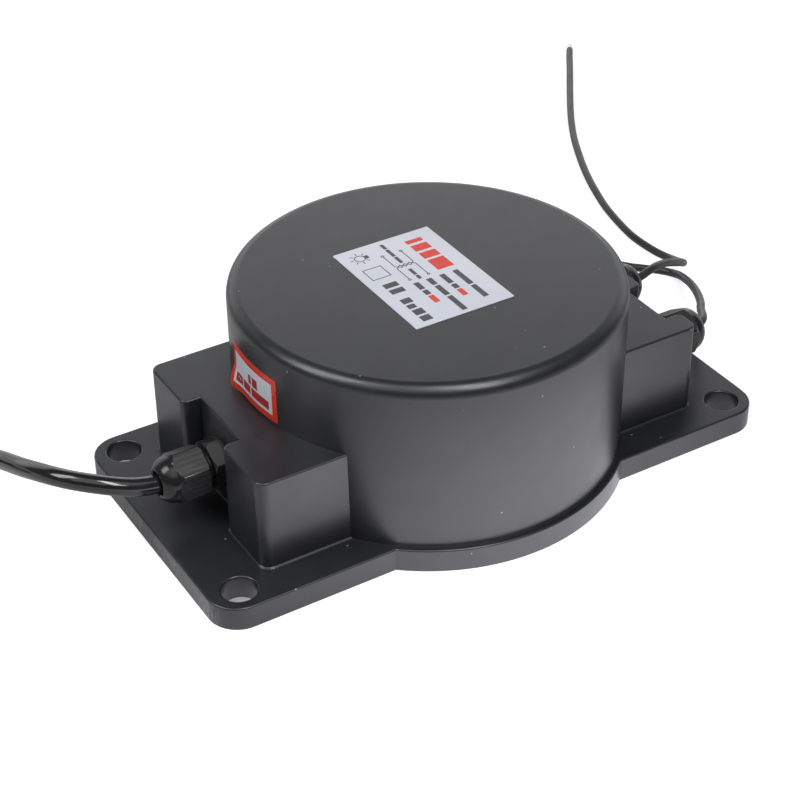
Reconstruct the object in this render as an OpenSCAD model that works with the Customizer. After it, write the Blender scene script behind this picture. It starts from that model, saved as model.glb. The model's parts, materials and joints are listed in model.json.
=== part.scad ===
// Waterproof toroidal transformer: a round potted drum on a four-hole base plate,
// a terminal box at each end, and three cable glands.
// Millimetres. X runs along the base plate towards the output end, Z is up,
// and the origin is under the drum's axis on the mounting surface.

/* [Housing] */
// Outside diameter of the drum that holds the toroid
drum_d = 125; // [120:0.5:128]
// Height of the drum's top above the mounting surface
housing_h = 65.5; // [65:0.5:80]
// Radius of the drum's rounded top edge
drum_fillet = 4; // [2:0.5:8]
// Thickness of the moulded walls
wall = 3; // [2.5:0.1:3.2]
// Width of the ledge where the foot ring stands out past the drum
ledge_w = 2; // [1:0.25:4]

/* [Base plate] */
// Distance from a terminal box's outer face to the end of the base plate
plate_past_box = 20; // [17:0.5:40]
// Width of the base plate
plate_w = 98; // [90:1:110]
// Thickness of the base plate
plate_t = 8; // [6:0.5:12]
// Radius of the base plate's corners
plate_corner_r = 10; // [6:0.5:12]
// Diameter of the four mounting holes
bolt_hole_d = 11; // [6:0.5:12]
// Distance from a mounting hole's middle to the end of the plate
bolt_inset_x = 10; // [9:0.5:11]
// Distance from a mounting hole's middle to the side of the plate
bolt_inset_y = 9; // [9:0.5:12]
// Wall of the tube round each mounting hole
boss_wall = 3.5; // [2:0.25:4]

/* [Terminal boxes] */
// Distance from the drum's side to the outer face of a terminal box
box_depth = 17.5; // [17:0.5:30]
// Width of a terminal box
box_w = 74; // [70:1:80]
// Height of a terminal box above the base plate
box_rise = 31; // [29:0.5:40]
// Radius of a terminal box's outer corners
box_corner_r = 3.5; // [3.1:0.1:6]
// Depth of the pockets that the glands sit in
pocket_depth = 6; // [4:0.5:8]
// Radius that rounds the mouth of each pocket
pocket_mouth_r = 2.5; // [1:0.25:3]
// Width of the single pocket at the input end
in_pocket_w = 26; // [22:0.5:30]
// Width of each of the two pockets at the output end
out_pocket_w = 20.5; // [19:0.5:24]
// Distance between the two output glands
out_gland_pitch = 34.5; // [33:0.5:40]
// Height of the gland axes above the base plate
gland_rise = 15; // [13:0.5:17]

/* [Cable glands] */
// Size across the flats of the gland's hexagons
gland_flats = 15; // [13:0.25:16]
// Diameter over the rounded corners of the hexagons
gland_corner_d = 17; // [16:0.25:17.3]
// Outside diameter of the threads at both ends of the gland body
gland_thread_d = 12.2; // [11.6:0.1:12.4]
// Travel of the dome nut in one turn
thread_pitch = 1.27; // [1:0.01:1.5]
// Thickness of the sealing washer
washer_t = 1; // [0.5:0.1:2]
// Thickness of the body's hexagon
body_hex_t = 4.6; // [3.5:0.1:6]
// Thread that shows between the body's hexagon and the tightened nut
nut_gap = 1.8; // [0.5:0.1:2]
// Length of the dome nut's hexagon
nut_hex_l = 9.1; // [8:0.1:12]
// Length over which the hexagon's corners run down into the rounded end
nut_taper_l = 3.5; // [2:0.1:5]
// Diameter of the dome nut's rounded end
dome_d = 15; // [14.6:0.1:15]
// Length of the dome nut's rounded end
dome_l = 5.5; // [5.2:0.1:7]
// Radius of the rounded end's front edge
dome_edge_r = 3.2; // [2:0.1:3.3]
// Diameter of the dome nut's mouth
mouth_d = 8; // [7:0.1:8.2]
// Bore of the gland body
body_bore_d = 8; // [7:0.1:8.5]
// Inside diameter of the clamping fingers
claw_bore_d = 9.8; // [9.5:0.1:10]
// Outside diameter of the clamping fingers
claw_d = 10.9; // [10.6:0.1:11.1]
// Length of the clamping fingers past the thread
claw_l = 4; // [3.5:0.1:4.3]
// Number of clamping fingers
claw_count = 8; // [4:1:8]
// Width of the slots between the clamping fingers
claw_slot_w = 1; // [0.5:0.1:1.4]
// Length of the thread that the dome nut runs on
nut_thread_l = 8; // [7.5:0.1:8.5]
// Size across the flats of the lock nut
lock_nut_flats = 17; // [16:0.25:18]
// Thickness of the lock nut
lock_nut_t = 5; // [3:0.25:5]
// Outside diameter of the sealing washer
washer_d = 16; // [15:0.25:17]

/* [Cables and leads] */
// Diameter of the input cable's jacket
cable_d = 5.9; // [5:0.1:6.5]
// Diameter of each core inside the input cable
core_d = 2.2; // [1.8:0.1:2.4]
// Diameter of the bare wire at a core's end
core_wire_d = 1.1; // [0.8:0.1:1.3]
// Diameter of each output lead
lead_d = 2.9; // [2.4:0.1:3.4]
// Diameter of the tinned strands at an output lead's end
lead_wire_d = 1.8; // [1.4:0.1:2]
// Length of the tinned strands at an output lead's end
lead_tip_l = 5; // [3:0.5:8]
// Length of the cores that stand out of the input cable's far end
core_end_l = 24; // [15:1:40]
// Length of the tinned tips on those cores
core_tip_l = 6; // [4:0.5:10]
// Radius of the coil of spare input cable
cable_coil_r = 30; // [26:0.5:35]
// Radius of the coil of spare output lead
lead_coil_r = 16; // [14:0.5:20]
// Width of the ties round the coils
tie_w = 3; // [2:0.5:5]
// Thickness of the ties round the coils
tie_t = 0.6; // [0.4:0.1:0.6]

/* [Toroid] */
// Width of the potting compound beside the toroid, as a share of the drum's diameter
potting_side_share = 0.108; // [0.09:0.002:0.15]
// Inside diameter of the wound steel core, as a share of the drum's diameter
core_hole_share = 0.352; // [0.3:0.004:0.4]
// Height of the toroid's underside above the mounting surface
toroid_rise = 13.5; // [9:0.5:14]
// Radius of the steel core's edges
core_edge_r = 1; // [0.5:0.1:2]
// Thickness of the core's insulation
core_wrap_t = 0.5; // [0.3:0.1:1]
// Thickness of the primary winding
primary_t = 2.4; // [1:0.1:3]
// Thickness of the tape between the windings
inner_tape_t = 0.4; // [0.3:0.1:1]
// Thickness of the secondary winding
secondary_t = 3.2; // [2:0.1:4]
// Thickness of the outer tape
outer_tape_t = 0.5; // [0.3:0.1:1]
// Thickness of the rubber pad between the toroid and the drum's top
pad_t = 3; // [2:0.5:5]
// Width left bare at the pad's inner and outer edges
pad_margin = 3; // [1:0.5:6]

/* [Inner wiring] */
// Length of the sleeve over each joint
sleeve_l = 11; // [8:0.5:12]
// Wall of the sleeve over each joint
sleeve_wall = 0.8; // [0.5:0.1:1]
// Diameter of the thermal fuse's case
fuse_d = 4; // [3:0.1:4.5]
// Length of the thermal fuse's case
fuse_l = 10; // [8:0.5:11]
// Distance between the two input conductors at their joints
joint_pitch = 5; // [4.5:0.1:6]
// Length of the stretch where the two cores spread apart
core_spread_l = 4; // [3:0.25:4]
// Depth of the potting compound's surface inside the rim
potting_recess = 0.8; // [0.4:0.1:2]

/* [Labels] */
// Size of the top label along the plate
top_label_x = 35; // [20:1:45]
// Size of the top label across the plate
top_label_y = 50; // [30:1:60]
// How far the top label lies towards the input end
top_label_shift = 2; // [0:0.5:6]
// Thickness of the labels
label_t = 0.2; // [0.1:0.05:0.4]
// Height of the label on the drum's side
side_label_h = 15.3; // [10:0.1:18]
// Length of the label round the drum's side
side_label_l = 27; // [20:0.2:40]
// Gap between the side label and the terminal box below it
side_label_gap = 0.9; // [0.2:0.1:3]
// How far the side label's middle lies round towards the near side
side_label_turn = 0; // [0:0.5:6]
// Radius of the labels' corners
label_corner_r = 1; // [0.5:0.1:3]

/* [Hidden] */
$fn = 96;
cord_sides = 10;
lead_sides = 8;
coil_sides = 6;
coil_rings = 24;
// Overrun of every cut past the face that it goes through
over = 1;
// Clearance round what the potting compound is cast over, and between the toroid's layers
cast_gap = 0.05;
// Running clearance on radius between the dome nut, the seal and what they slide on
run_gap = 0.1;
// Clearance on radius of a gland in the hole of its wall
hole_gap = 0.15;
// How far inside the dome nut's front a cord starts to bend
bend_inside = 1.3;
// Distance from the seal's head to the shoulder inside the dome nut
seal_play = 0.1;
// Length of gland thread that stands out past the lock nut
thread_end_l = 1;
// Length of cable or lead inside the housing, past the gland
inner_past = 1;
// Depth and radius of the seal's head inside the dome nut
seal_head_l = 1.7;
seal_head_r = 5.3;
// Length and widening on radius of the flare at the front of the seal's bore
seal_flare_l = 4;
seal_flare = 1;
// Depth of the wider bore that the seal sits in, measured back from the fingers' ends
claw_bore_l = 8.5;
// Gap between the coil's end and its start below, and between a tie and what it holds
coil_gap = 0.6;
tie_gap = 0.1;
// Shares of a coil's turn between which it climbs over its own start
climb_from_share = 0.4;
climb_to_share = 0.9;

drum_r = drum_d / 2;
foot_r = drum_r + ledge_w;
box_reach = drum_r + box_depth;
plate_l = 2 * (box_reach + plate_past_box);
bolt_pitch_x = plate_l - 2 * bolt_inset_x;
bolt_pitch_y = plate_w - 2 * bolt_inset_y;
box_top = plate_t + box_rise;
plate_ceiling = plate_t - wall;
drum_ceiling = housing_h - wall;
box_ceiling = box_top - wall;
boss_r = bolt_hole_d / 2 + boss_wall;
gland_z = plate_t + gland_rise;
face_x = box_reach - pocket_depth;
inner_face_x = face_x - wall;
in_places = [0];
out_places = [out_gland_pitch / 2, -out_gland_pitch / 2];

// Distances along a gland, measured outwards from the pocket's back wall
hex_from = washer_t;
hex_to = hex_from + body_hex_t;
nut_from = hex_to + nut_gap;
nut_hex_to = nut_from + nut_hex_l;
thread_to = hex_to + nut_thread_l;
claw_to = thread_to + claw_l;
mouth_r = mouth_d / 2;
nose_to = nut_hex_to + dome_l;
shoulder_to = claw_to + run_gap + seal_head_l + seal_play;
gland_inner_to = -wall - lock_nut_t - thread_end_l;
nut_bore_r = gland_thread_d / 2 + run_gap;
nut_chamber_r = claw_d / 2 + run_gap;
cable_from = gland_inner_to - inner_past;
cable_to = nose_to - bend_inside;
cable_r = cable_d / 2;
lead_r = lead_d / 2;
core_r = core_d / 2;

// Places along the plate where the inner wiring starts and ends
wire_from = face_x + cable_from;
layer_1 = core_wrap_t;
layer_2 = layer_1 + primary_t;
layer_3 = layer_2 + inner_tape_t;
layer_4 = layer_3 + secondary_t;
layer_5 = layer_4 + outer_tape_t;
core_id = drum_d * core_hole_share;
toroid_r = drum_r - wall - drum_d * potting_side_share;
toroid_top = drum_ceiling - pad_t;
toroid_z = (toroid_rise + toroid_top) / 2;
core_od = 2 * (toroid_r - layer_5);
core_h = toroid_top - toroid_rise - 2 * layer_5;

// The way that the free cords take, each point chosen to lie on the line that it is seen on.
// The input cable leaves to the left, sinks to the surface and reaches its coil.
input_route = [
    [-94.7, 0, 23], [-97.2, 0.04, 23.2], [-100.2, 0.17, 23.75], [-103.2, 0.6, 24.4], [-106.1, 1.25, 25.2],
    [-109.4, 2.36, 26.15], [-112.8, 4.05, 27], [-116.4, 6.6, 27.6], [-119.9, 10.1, 27.8],
    [-123, 15, 27.3], [-125.1, 21.2, 25.6], [-126.5, 28.4, 22.9], [-127.3, 36.5, 19.5],
    [-128, 45, 15.9], [-129.1, 54, 12.2], [-130.6, 63, 8.8], [-132.4, 71.5, 6.1], [-134.3, 79.5, 4.3],
    [-136.3, 87.5, 3.45], [-138.4, 95.5, 3.3], [-140.6, 103, 3.7]
];
lead_a_route = [
    [94.7, 17.25, 23], [97.2, 17.3, 23.15], [100, 17.6, 23.6], [103, 18.3, 23.95], [106.8, 19.7, 23.7],
    [111.2, 21.6, 22.5], [116.1, 23.8, 20.5], [121.6, 26.3, 17.7], [126.2, 28.9, 14.9], [130.5, 32.1, 11.8],
    [134.2, 36, 8.6], [137.2, 40.6, 5.6], [139, 45.8, 3.1], [139.2, 51.4, 1.75], [138.4, 57, 1.45],
    [137.9, 64, 1.45], [138, 71, 1.45], [139, 78, 1.45], [140.6, 86, 1.45], [143, 95.5, 1.45],
    [146.4, 105.5, 1.45], [150.4, 116, 1.45], [155, 126.5, 1.45], [160.4, 137.5, 1.45],
    [166.6, 149.2, 1.45], [173.6, 160.8, 1.45], [181, 172, 1.45], [188.8, 183.2, 1.45],
    [196.6, 194.2, 1.45], [204.3, 205, 1.45], [212, 216, 1.45], [216.5, 222.2, 1.45]
];
lead_b_route = [
    [94.7, -17.25, 23], [96.9, -17, 23], [99, -16.2, 22.95], [100.9, -14.8, 22.75], [102.6, -12.9, 22.3],
    [104.3, -10.4, 21.6], [106.5, -7.2, 20.5], [109.3, -3.8, 19], [112.9, 0.3, 16.9], [116.7, 5.3, 14.6],
    [120.9, 11.3, 12.2], [124.9, 17.8, 9.8], [128.6, 24.5, 7.3], [131.5, 30.8, 5], [133.4, 36.2, 3.15],
    [133.7, 40.2, 2], [132.5, 43.7, 1.5], [130, 46.8, 1.45], [126.8, 49.9, 1.45], [123.4, 53.4, 1.45],
    [120.4, 57.4, 1.45], [117.4, 62.2, 1.45], [114.4, 67.8, 1.45], [111, 74.5, 1.45], [107.4, 81.7, 1.45],
    [103.7, 89, 1.45], [99.8, 96.6, 1.55], [96, 104, 2.15]
];

// Geometry that several sub-parts share

module at_input(y = 0) {
    rotate([0, 0, 180]) translate([face_x, -y, gland_z]) children();
}

module at_output(y = 0) {
    translate([face_x, y, gland_z]) children();
}

// A cylinder along X from one distance to another
module rod(r, from, to) {
    translate([from, 0, 0]) rotate([0, 90, 0]) cylinder(r = r, h = to - from);
}

// A cone along X, from one radius to another
module cone_rod(r_from, r_to, from, to) {
    translate([from, 0, 0]) rotate([0, 90, 0]) cylinder(r1 = r_from, r2 = r_to, h = to - from);
}

// A hexagon along X with its corners rounded to the gland's corner diameter
module hex_rod(flats, corner_r, from, to) {
    intersection() {
        translate([from, 0, 0]) rotate([0, 90, 0]) cylinder(r = flats / sqrt(3), h = to - from, $fn = 6);
        rod(corner_r, from - over, to + over);
    }
}

module rounded_rect(l, w, r) {
    square([l - 2 * r, w], center = true);
    square([l, w - 2 * r], center = true);
    for (sx = [-1, 1], sy = [-1, 1]) translate([sx * (l / 2 - r), sy * (w / 2 - r)]) circle(r = r);
}

module at_bolts() {
    for (sx = [-1, 1], sy = [-1, 1])
        translate([sx * bolt_pitch_x / 2, sy * bolt_pitch_y / 2, 0]) children();
}

// Plan of one terminal box seen from above, with its outer corners rounded
module box_plan(grow) {
    reach = box_reach + grow;
    half_w = box_w / 2 + grow;
    r = box_corner_r + grow;
    translate([0, -half_w]) square([reach - r, 2 * half_w]);
    translate([0, r - half_w]) square([reach, 2 * (half_w - r)]);
    for (sy = [-1, 1]) translate([reach - r, sy * (half_w - r)]) circle(r = r);
}

// Plan of one gland pocket, with the rounding of its mouth
module pocket_plan(w) {
    translate([face_x, -w / 2]) square([pocket_depth + over, w]);
    for (sy = [-1, 1])
        translate([box_reach - pocket_mouth_r, sy * (w / 2 + pocket_mouth_r)]) difference() {
            translate([0, sy > 0 ? -pocket_mouth_r : 0]) square([pocket_mouth_r + over, pocket_mouth_r]);
            circle(r = pocket_mouth_r);
        }
}

module terminal_box(places, pocket_w) {
    linear_extrude(box_top) difference() {
        box_plan(0);
        for (y = places) translate([0, y]) pocket_plan(pocket_w);
    }
}

module box_cavity(places, pocket_w, from) {
    translate([0, 0, from]) linear_extrude(box_ceiling - from) difference() {
        box_plan(-wall);
        for (y = places)
            translate([inner_face_x, y - pocket_w / 2 - wall])
                square([pocket_depth + wall, pocket_w + 2 * wall]);
    }
}

// The hollow inside the housing, from a given height up to its ceilings
module hollow(from) {
    difference() {
        translate([0, 0, from]) {
            linear_extrude(plate_ceiling - from)
                rounded_rect(plate_l - 2 * wall, plate_w - 2 * wall, plate_corner_r - wall);
            cylinder(r = foot_r - wall, h = plate_ceiling - from);
            cylinder(r = drum_r - wall, h = drum_ceiling - from);
        }
        at_bolts() translate([0, 0, from - over]) cylinder(r = boss_r, h = plate_ceiling - from + 2 * over);
    }
    difference() {
        union() {
            box_cavity(out_places, out_pocket_w, from);
            rotate([0, 0, 180]) box_cavity(in_places, in_pocket_w, from);
        }
        at_bolts() translate([0, 0, from - over]) cylinder(r = boss_r, h = box_top);
    }
}

module drum_shape() {
    cylinder(r = drum_r, h = housing_h - drum_fillet);
    cylinder(r = drum_r - drum_fillet, h = housing_h);
    translate([0, 0, housing_h - drum_fillet]) rotate_extrude()
        translate([drum_r - drum_fillet, 0]) circle(r = drum_fillet);
}

// Section of the toroid at a given distance outside the steel core
module toroid_section(grow) {
    translate([(core_od + core_id) / 4, 0])
        rounded_rect((core_od - core_id) / 2 + 2 * grow, core_h + 2 * grow, core_edge_r + grow);
}

// One layer of the toroid, between two distances outside the steel core
module toroid_layer(inside, outside) {
    translate([0, 0, toroid_z]) rotate_extrude() difference() {
        toroid_section(outside);
        toroid_section(inside + cast_gap);
    }
}

// Every part of the toroid, and the leads into it, as the potting compound meets them
module toroid_envelope() {
    translate([0, 0, toroid_z]) rotate_extrude() toroid_section(layer_5 + cast_gap);
}

// A tube swept along points, its ends square to given directions
function unit(v) = v / norm(v);
function heading(p, i, first, last) =
    i == 0 ? unit(first) : i == len(p) - 1 ? unit(last) : unit(p[i + 1] - p[i - 1]);
function ring_at(c, t, r, sides) =
    let (side = unit(cross([0, 0, 1], t)), top = cross(t, side))
    [for (k = [0 : sides - 1]) let (a = 360 * (k + 1 / 2) / sides) c + r * (cos(a) * side + sin(a) * top)];

module tube(p, r, sides, first, last) {
    n = len(p);
    points = [for (i = [0 : n - 1]) each ring_at(p[i], heading(p, i, first, last), r, sides)];
    walls = [for (i = [0 : n - 2], k = [0 : sides - 1])
        let (a = i * sides + k, b = i * sides + (k + 1) % sides, c = a + sides, d = b + sides)
        each [[a, c, b], [b, c, d]]];
    start_cap = [for (k = [1 : sides - 2]) [0, k, k + 1]];
    end_from = (n - 1) * sides;
    end_cap = [for (k = [1 : sides - 2]) [end_from, end_from + k + 1, end_from + k]];
    polyhedron(points, concat(walls, start_cap, end_cap));
}

// A coil of one turn to the left: it climbs late in its turn and ends square above its own start
function along(heading) = [cos(heading), sin(heading), 0];
function climb(t) =
    let (u = (t - climb_from_share) / (climb_to_share - climb_from_share))
    (1 - cos(180 * min(1, max(0, u)))) / 2;
function coil_point(start, heading, r, d, t) =
    start + r * (along(heading + 90) + along(heading - 90 + 360 * t)) + [0, 0, (d + coil_gap) * climb(t)];
function coil_way(start, heading, r, d) = concat(
    [for (i = [0 : coil_rings]) coil_point(start, heading, r, d, i / coil_rings)],
    [coil_point(start, heading, r, d, 1) + d * along(heading)]
);

function last(p) = p[len(p) - 1];
function end_angle(p) = atan2(last(p)[1] - p[len(p) - 2][1], last(p)[0] - p[len(p) - 2][0]);
function path_length(p) =
    len(p) < 2 ? 0 : norm(last(p) - p[len(p) - 2]) + path_length([for (i = [0 : len(p) - 2]) p[i]]);
function least_gap(p, d) = min([for (i = [0 : len(p) - 1], j = [0 : len(p) - 1])
    if (j - i > coil_rings / 2) norm(p[i] - p[j]) - d]);

cable_coil_angle = end_angle(input_route);
cable_coil_way = coil_way(last(input_route), cable_coil_angle, cable_coil_r, cable_d);
lead_coil_angle = end_angle(lead_b_route);
lead_coil_way = coil_way(last(lead_b_route), lead_coil_angle, lead_coil_r, lead_d);
echo(cable_coil_least_gap_mm = least_gap(cable_coil_way, cable_d));
echo(lead_coil_least_gap_mm = least_gap(lead_coil_way, lead_d));
echo(input_cable_mm = path_length(input_route) + path_length(cable_coil_way));
echo(output_lead_a_mm = path_length(lead_a_route) + lead_tip_l);
echo(output_lead_b_mm = path_length(lead_b_route) + path_length(lead_coil_way) + lead_tip_l);

// Housing and toroid

module housing() {
    color([0.1, 0.1, 0.11]) difference() {
        union() {
            linear_extrude(plate_t) rounded_rect(plate_l, plate_w, plate_corner_r);
            cylinder(r = foot_r, h = plate_t);
            drum_shape();
            terminal_box(out_places, out_pocket_w);
            rotate([0, 0, 180]) terminal_box(in_places, in_pocket_w);
        }
        hollow(0);
        at_bolts() translate([0, 0, -over]) cylinder(r = bolt_hole_d / 2, h = plate_t + 2 * over);
        for (y = in_places) at_input(y) rod(gland_thread_d / 2 + hole_gap, -wall - over, over);
        for (y = out_places) at_output(y) rod(gland_thread_d / 2 + hole_gap, -wall - over, over);
    }
}

module potting_compound() {
    color([0.05, 0.05, 0.06]) difference() {
        hollow(potting_recess);
        toroid_envelope();
        translate([0, 0, toroid_top - cast_gap])
            cylinder(r = toroid_r - pad_margin + cast_gap, h = pad_t + 2 * cast_gap);
        input_side_inside(cast_gap);
        for (y = out_places) output_side_inside(y, cast_gap);
    }
}

// What the potting compound covers at the input end, grown by a clearance
module input_side_inside(grow) {
    at_input() {
        gland_end(grow);
        rod(cable_r + grow, cable_from - grow, gland_inner_to + over);
        rod(joint_pitch / 2 + core_r + grow, cable_from - core_spread_l - cast_gap - grow, cable_from);
    }
    thermal_fuse_shape(grow);
    input_sleeve_shape(grow, false);
    primary_lead_shape(1, grow, 0);
    primary_lead_shape(-1, grow, 0);
}

// What the potting compound covers at one output gland, grown by a clearance
module output_side_inside(y, grow) {
    at_output(y) {
        gland_end(grow);
        rod(lead_r + grow, joint_mid_x - face_x, gland_inner_to + over);
    }
    output_sleeve_shape(y, grow, false);
    secondary_lead_shape(y, grow, 0);
}

// The lock nut and the end of the gland's thread, as one plain shape
module gland_end(grow) {
    corner_r = lock_nut_flats / sqrt(3) + grow;
    hex_rod(lock_nut_flats + 2 * grow, corner_r, -wall - lock_nut_t - grow, -wall + grow);
    rod(gland_thread_d / 2 + grow, gland_inner_to - grow, -wall);
}

module top_pad() {
    color([0.12, 0.12, 0.12]) translate([0, 0, toroid_top]) cylinder(r = toroid_r - pad_margin, h = pad_t);
}

module steel_core() {
    color([0.55, 0.56, 0.6]) translate([0, 0, toroid_z]) rotate_extrude() toroid_section(0);
}

module core_insulation() {
    color([0.85, 0.8, 0.6]) toroid_layer(0, layer_1);
}

module primary_winding() {
    color([0.72, 0.35, 0.16]) toroid_layer(layer_1, layer_2);
}

module inner_tape() {
    color([0.9, 0.85, 0.45]) difference() {
        toroid_layer(layer_2, layer_3);
        for (side = [-1, 1]) primary_lead_shape(side, cast_gap, over);
    }
}

module secondary_winding() {
    color([0.78, 0.42, 0.2]) difference() {
        toroid_layer(layer_3, layer_4);
        for (side = [-1, 1]) primary_lead_shape(side, cast_gap, over);
    }
}

module outer_tape() {
    color([0.9, 0.88, 0.75]) difference() {
        toroid_layer(layer_4, layer_5);
        for (side = [-1, 1]) primary_lead_shape(side, cast_gap, over);
        for (y = out_places) secondary_lead_shape(y, cast_gap, over);
    }
}

// Inner wiring, from each gland to the toroid

joint_mid_x = wire_from - core_spread_l - sleeve_l / 2;
out_sleeve_from = joint_mid_x - sleeve_l / 2;

// One core of the input cable: a slanted run out of the jacket, then a straight run to its joint
module input_core(side) {
    y_from = side * (core_r + cast_gap);
    y_to = side * joint_pitch / 2;
    bend_x = wire_from - core_spread_l;
    slant_l = norm([core_spread_l, y_to - y_from]);
    end_x = side > 0 ? fuse_from : joint_mid_x;
    rotate([0, 0, 180]) translate([0, 0, gland_z]) {
        intersection() {
            translate([bend_x, y_to, 0]) rotate([0, 0, atan2(y_from - y_to, core_spread_l)])
                rod(core_r, -slant_l, 2 * slant_l);
            translate([bend_x, -joint_pitch, -joint_pitch])
                cube([core_spread_l, 2 * joint_pitch, 2 * joint_pitch]);
        }
        translate([0, y_to, 0]) rod(core_r, end_x, bend_x);
    }
}

fuse_from = wire_from - core_spread_l - cast_gap;
fuse_to = fuse_from - fuse_l;

module thermal_fuse_shape(grow) {
    rotate([0, 0, 180]) translate([0, joint_pitch / 2, gland_z])
        rod(fuse_d / 2 + grow, fuse_to - grow, fuse_from + grow);
}

module input_sleeve_shape(grow, bored) {
    from = joint_mid_x - sleeve_l / 2 - cast_gap;
    to = joint_mid_x + sleeve_l / 2 - cast_gap;
    rotate([0, 0, 180]) translate([0, -joint_pitch / 2, gland_z]) difference() {
        rod(core_r + cast_gap + sleeve_wall + grow, from - grow, to + grow);
        if (bored) rod(core_r + cast_gap, from - over, to + over);
    }
}

module output_sleeve_shape(y, grow, bored) {
    translate([0, y, gland_z]) difference() {
        outer_r = lead_r + cast_gap + sleeve_wall + grow;
        rod(outer_r, out_sleeve_from - grow, out_sleeve_from + sleeve_l + grow);
        if (bored) rod(lead_r + cast_gap, out_sleeve_from - over, out_sleeve_from + sleeve_l + over);
    }
}

// A lead from its joint to the outside of the primary winding, cut to the winding's curve
module primary_lead_shape(side, grow, past) {
    from = side > 0 ? fuse_to : joint_mid_x;
    difference() {
        rotate([0, 0, 180]) translate([0, side * joint_pitch / 2, gland_z])
            rod(core_r + grow, 0, from + past);
        cylinder(r = core_od / 2 + layer_2 + cast_gap - past, h = housing_h);
    }
}

// A lead from its joint to the outside of the secondary winding, cut to the winding's curve
module secondary_lead_shape(y, grow, past) {
    difference() {
        translate([0, y, gland_z]) rod(lead_r + grow, 0, joint_mid_x);
        cylinder(r = core_od / 2 + layer_4 + cast_gap - past, h = housing_h);
    }
}

module thermal_fuse() {
    color([0.8, 0.8, 0.75]) thermal_fuse_shape(0);
}

module joint_sleeve_input() {
    color([0.1, 0.1, 0.1]) input_sleeve_shape(0, true);
}

module joint_sleeve_output(i) {
    color([0.1, 0.1, 0.1]) output_sleeve_shape(out_places[i], 0, true);
}

module primary_lead(side) {
    color(side > 0 ? [0.4, 0.22, 0.12] : [0.12, 0.25, 0.6]) primary_lead_shape(side, 0, 0);
}

module secondary_lead(i) {
    color([0.15, 0.15, 0.15]) secondary_lead_shape(out_places[i], 0, 0);
}

module input_core_piece(side) {
    color(side > 0 ? [0.4, 0.22, 0.12] : [0.12, 0.25, 0.6]) input_core(side);
}

// Cable glands, drawn along X outwards from the pocket's back wall

// The gland body's turned shape, with the thread's ridges as rings a pitch apart
module gland_turned() {
    thread_r = gland_thread_d / 2;
    root_r = claw_d / 2;
    ridge_count = floor(nut_thread_l / thread_pitch);
    ridges = [for (k = [0 : ridge_count - 1]) each [
        [root_r, hex_to + k * thread_pitch],
        [thread_r, hex_to + (k + 1 / 2) * thread_pitch]
    ]];
    mid_hex = (hex_from + hex_to) / 2;
    rotate([0, 90, 0]) rotate_extrude() polygon(concat(
        [[0, gland_inner_to], [thread_r, gland_inner_to], [thread_r, mid_hex], [root_r, mid_hex]],
        ridges,
        [[root_r, hex_to + ridge_count * thread_pitch], [root_r, claw_to], [0, claw_to]]
    ));
}

module gland_body() {
    color([0.08, 0.08, 0.09]) difference() {
        union() {
            gland_turned();
            hex_rod(gland_flats, gland_corner_d / 2, hex_from, hex_to);
        }
        rod(body_bore_d / 2, gland_inner_to - over, claw_to + over);
        rod(claw_bore_d / 2, claw_to - claw_bore_l, claw_to + over);
        for (k = [0 : claw_count - 1]) rotate([360 * k / claw_count, 0, 0])
            translate([thread_to, -claw_slot_w / 2, 0]) cube([claw_l + over, claw_slot_w, claw_d]);
    }
}

module gland_washer() {
    color([0.05, 0.05, 0.05]) difference() {
        rod(washer_d / 2, 0, washer_t);
        rod(gland_thread_d / 2 + hole_gap, -over, washer_t + over);
    }
}

module lock_nut() {
    color([0.08, 0.08, 0.09]) difference() {
        hex_rod(lock_nut_flats, lock_nut_flats / sqrt(3), -wall - lock_nut_t, -wall);
        rod(gland_thread_d / 2 + cast_gap, -wall - lock_nut_t - over, -wall + over);
    }
}

module seal(wire_r) {
    seal_to = claw_to + run_gap + seal_head_l;
    bore_r = wire_r + run_gap;
    color([0.06, 0.06, 0.06]) difference() {
        union() {
            rod(claw_bore_d / 2 - run_gap, claw_to - claw_bore_l + run_gap, seal_to);
            rod(seal_head_r, claw_to + run_gap, seal_to);
        }
        rod(bore_r, claw_to - claw_bore_l - over, seal_to);
        cone_rod(bore_r, bore_r + seal_flare, seal_to - seal_flare_l, seal_to);
    }
}

module dome_nut() {
    taper_r = gland_flats / sqrt(3);
    color([0.07, 0.07, 0.08]) difference() {
        union() {
            intersection() {
                hex_rod(gland_flats, gland_corner_d / 2, nut_from, nut_hex_to);
                union() {
                    rod(taper_r, nut_from - over, nut_hex_to - nut_taper_l);
                    cone_rod(taper_r, dome_d / 2, nut_hex_to - nut_taper_l, nut_hex_to);
                }
            }
            rod(dome_d / 2, nut_hex_to, nose_to - dome_edge_r);
            rod(dome_d / 2 - dome_edge_r, nut_hex_to, nose_to);
            translate([nose_to - dome_edge_r, 0, 0]) rotate([0, 90, 0]) rotate_extrude()
                translate([dome_d / 2 - dome_edge_r, 0]) circle(r = dome_edge_r);
        }
        rod(nut_bore_r, nut_from - over, thread_to + run_gap);
        rod(nut_chamber_r, nut_from - over, shoulder_to);
        rod(mouth_r, nut_from - over, nose_to + over);
    }
}

// Cables and leads

module cable_inner() {
    color([0.06, 0.06, 0.07]) rod(cable_r, cable_from, cable_to);
}

module lead_inner() {
    color([0.06, 0.06, 0.07]) rod(lead_r, joint_mid_x - face_x, cable_to);
}

module input_cable() {
    color([0.06, 0.06, 0.07])
        tube(input_route, cable_r, cord_sides, [-1, 0, 0], along(cable_coil_angle));
}

module input_cable_coil() {
    way_on = along(cable_coil_angle);
    color([0.06, 0.06, 0.07]) tube(cable_coil_way, cable_r, coil_sides, way_on, way_on);
}

module output_lead(route) {
    color([0.06, 0.06, 0.07]) tube(route, lead_r, lead_sides, [1, 0, 0], along(end_angle(route)));
}

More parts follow.
